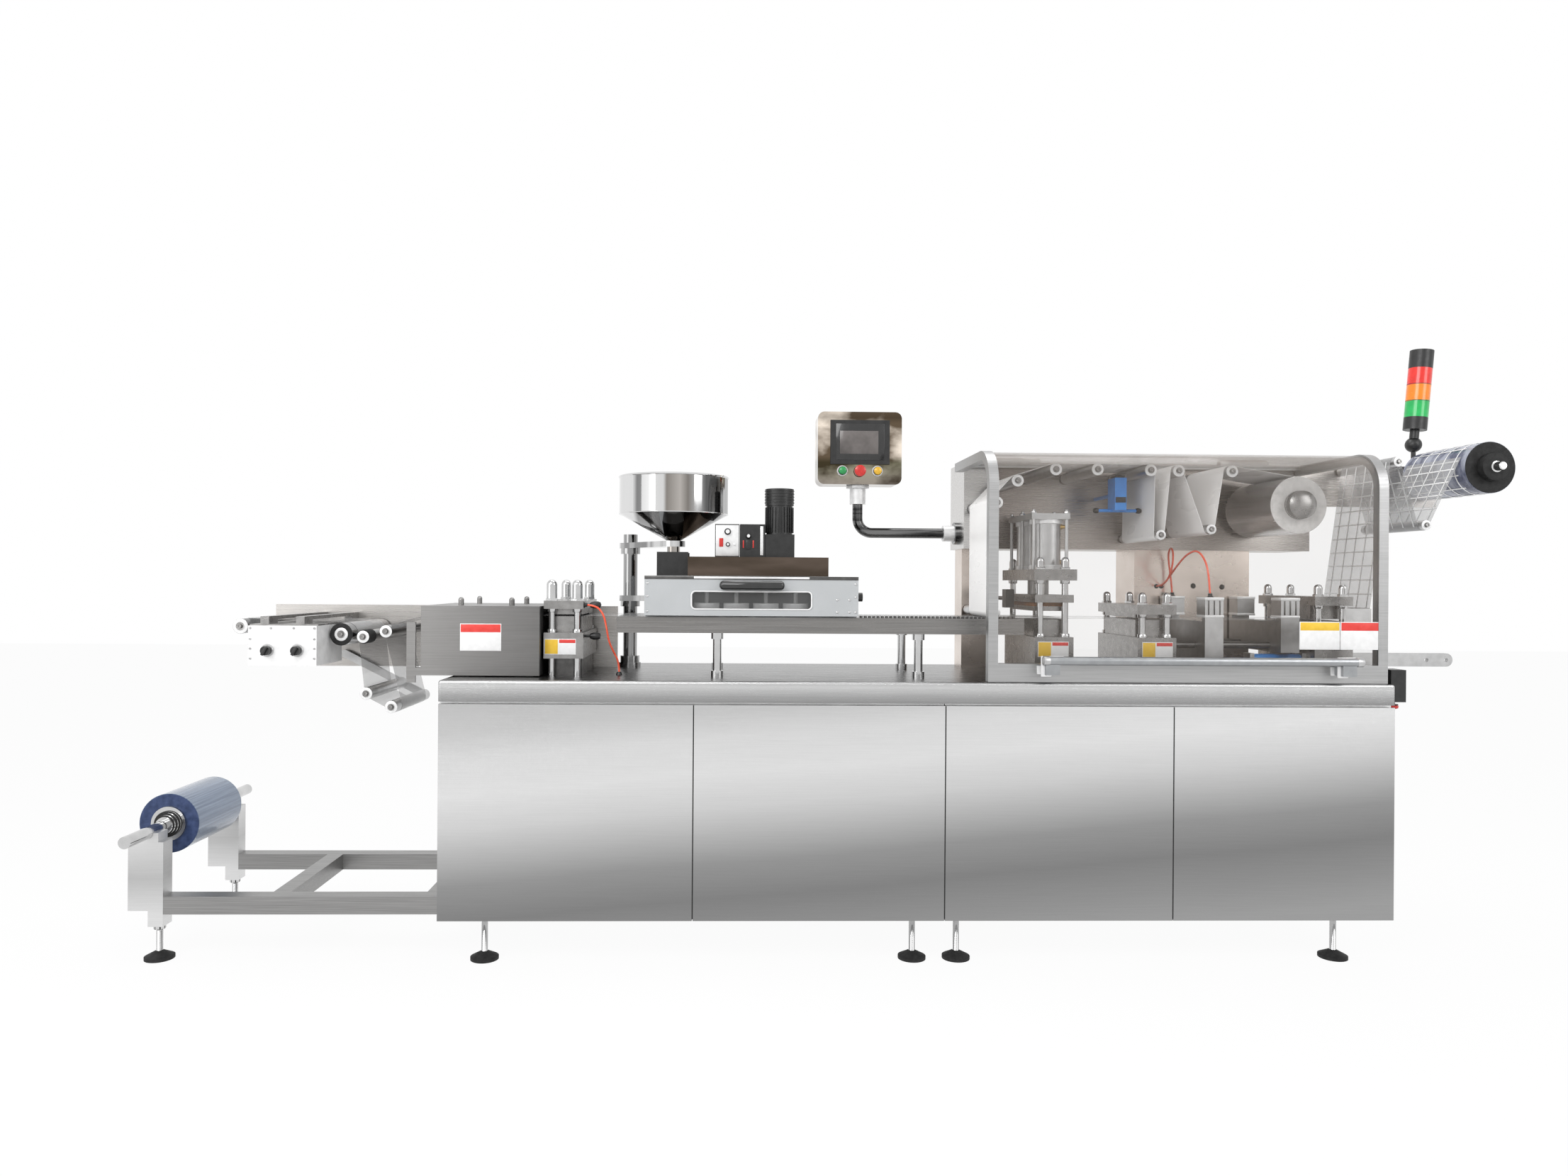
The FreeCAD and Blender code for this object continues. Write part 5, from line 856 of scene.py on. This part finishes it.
def in_sight(tree):
    """1 for what the camera sees straight, or in metal and through glass."""
    path = tree.nodes.new("ShaderNodeLightPath")
    value = path.outputs["Is Camera Ray"]
    for kind in ("Is Glossy Ray", "Is Transmission Ray"):
        larger = tree.nodes.new("ShaderNodeMath")
        larger.operation = "MAXIMUM"
        link(tree, value, larger.inputs[0])
        link(tree, path.outputs[kind], larger.inputs[1])
        value = larger.outputs["Value"]
    return value


def stage_floor():
    """A pale floor that meets the white background and keeps the object's shadow."""
    made = bpy.data.meshes.new("floor")
    far = FLOOR_REACH
    made.from_pydata([(-far, -far, 0), (far, -far, 0), (far, far, 0), (-far, far, 0)], [], [(0, 1, 2, 3)])
    floor = bpy.data.objects.new("floor", made)
    bpy.context.collection.objects.link(floor)
    paint = bpy.data.materials.new("floor")
    paint.use_nodes = True
    tree = paint.node_tree
    shader = tree.nodes["Principled BSDF"]
    shader.inputs["Roughness"].default_value = 0.8
    shader.inputs["Base Color"].default_value = (0.86, 0.86, 0.86, 1)
    glow = tree.nodes.new("ShaderNodeEmission")
    share = tree.nodes.new("ShaderNodeMath")
    share.operation = "MULTIPLY"
    share.inputs[1].default_value = FLOOR_GLOW
    link(tree, in_sight(tree), share.inputs[0])
    mixed = tree.nodes.new("ShaderNodeMixShader")
    link(tree, share.outputs["Value"], mixed.inputs["Fac"])
    link(tree, shader.outputs["BSDF"], mixed.inputs[1])
    link(tree, glow.outputs["Emission"], mixed.inputs[2])
    link(tree, mixed.outputs["Shader"], tree.nodes["Material Output"].inputs["Surface"])
    made.materials.append(paint)


def surroundings():
    """White for all that is in sight; lighter and darker sides for the light on surfaces."""
    world = bpy.data.worlds.new("room")
    bpy.context.scene.world = world
    world.use_nodes = True
    tree = world.node_tree
    around = tree.nodes["Background"]
    place = tree.nodes.new("ShaderNodeTexCoord")
    turn = tree.nodes.new("ShaderNodeMapping")
    turn.inputs["Scale"].default_value = (1.4, 1.4, 2.6)
    link(tree, place.outputs["Generated"], turn.inputs["Vector"])
    cloud = tree.nodes.new("ShaderNodeTexNoise")
    cloud.inputs["Scale"].default_value = 1.6
    cloud.inputs["Detail"].default_value = 1
    link(tree, turn.outputs["Vector"], cloud.inputs["Vector"])
    stops = [(0.36, grey(0.28)), (0.50, grey(0.75)), (0.62, grey(1.0))]
    shades = ramp(tree, cloud.outputs["Fac"], stops)
    link(tree, shades, around.inputs["Color"])
    around.inputs["Strength"].default_value = 0.95
    white = tree.nodes.new("ShaderNodeBackground")
    white.inputs["Color"].default_value = (1, 1, 1, 1)
    mixed = tree.nodes.new("ShaderNodeMixShader")
    link(tree, in_sight(tree), mixed.inputs["Fac"])
    link(tree, around.outputs["Background"], mixed.inputs[1])
    link(tree, white.outputs["Background"], mixed.inputs[2])
    link(tree, mixed.outputs["Shader"], tree.nodes["World Output"].inputs["Surface"])


def area_light(name, place, target, size, power):
    """A soft light at a place, turned towards a target."""
    lamp = bpy.data.lights.new(name, "AREA")
    lamp.shape = "RECTANGLE"
    lamp.size, lamp.size_y = size
    lamp.energy = power
    made = bpy.data.objects.new(name, lamp)
    made.location = place
    made.rotation_euler = (Vector(target) - Vector(place)).to_track_quat("-Z", "Y").to_euler()
    bpy.context.collection.objects.link(made)


def camera():
    """The photograph's view, fitted to the cabinet's corners and seams."""
    lens = bpy.data.cameras.new("photo")
    lens.sensor_width = 36
    lens.lens = 24.09
    lens.shift_x = 0.024
    lens.shift_y = -0.0043
    lens.clip_end = 60
    made = bpy.data.objects.new("photo", lens)
    yaw = Matrix.Rotation(math.radians(CAMERA_YAW), 4, "Z")
    level = Matrix.Rotation(math.radians(90), 4, "X")
    roll = Matrix.Rotation(math.radians(CAMERA_ROLL), 4, "Z")
    made.matrix_world = Matrix.Translation(CAMERA_PLACE) @ yaw @ level @ roll
    bpy.context.collection.objects.link(made)
    bpy.context.scene.camera = made


stage_floor()
surroundings()
area_light("key", (-2.2, -3.6, 3.6), (0.0, 0.0, 0.9), (3.0, 2.0), 90)
area_light("side", (3.2, -2.6, 2.6), (0.8, 0.0, 1.0), (1.6, 2.0), 35)
area_light("left", (-3.2, -2.2, 1.9), (0.9, 0.0, 1.3), (2.0, 2.0), 24)
area_light("top", (0.3, 0.4, 3.8), (0.3, 0.1, 0.8), (4.0, 1.2), 50)
camera()
bpy.context.scene.view_settings.view_transform = "Standard"
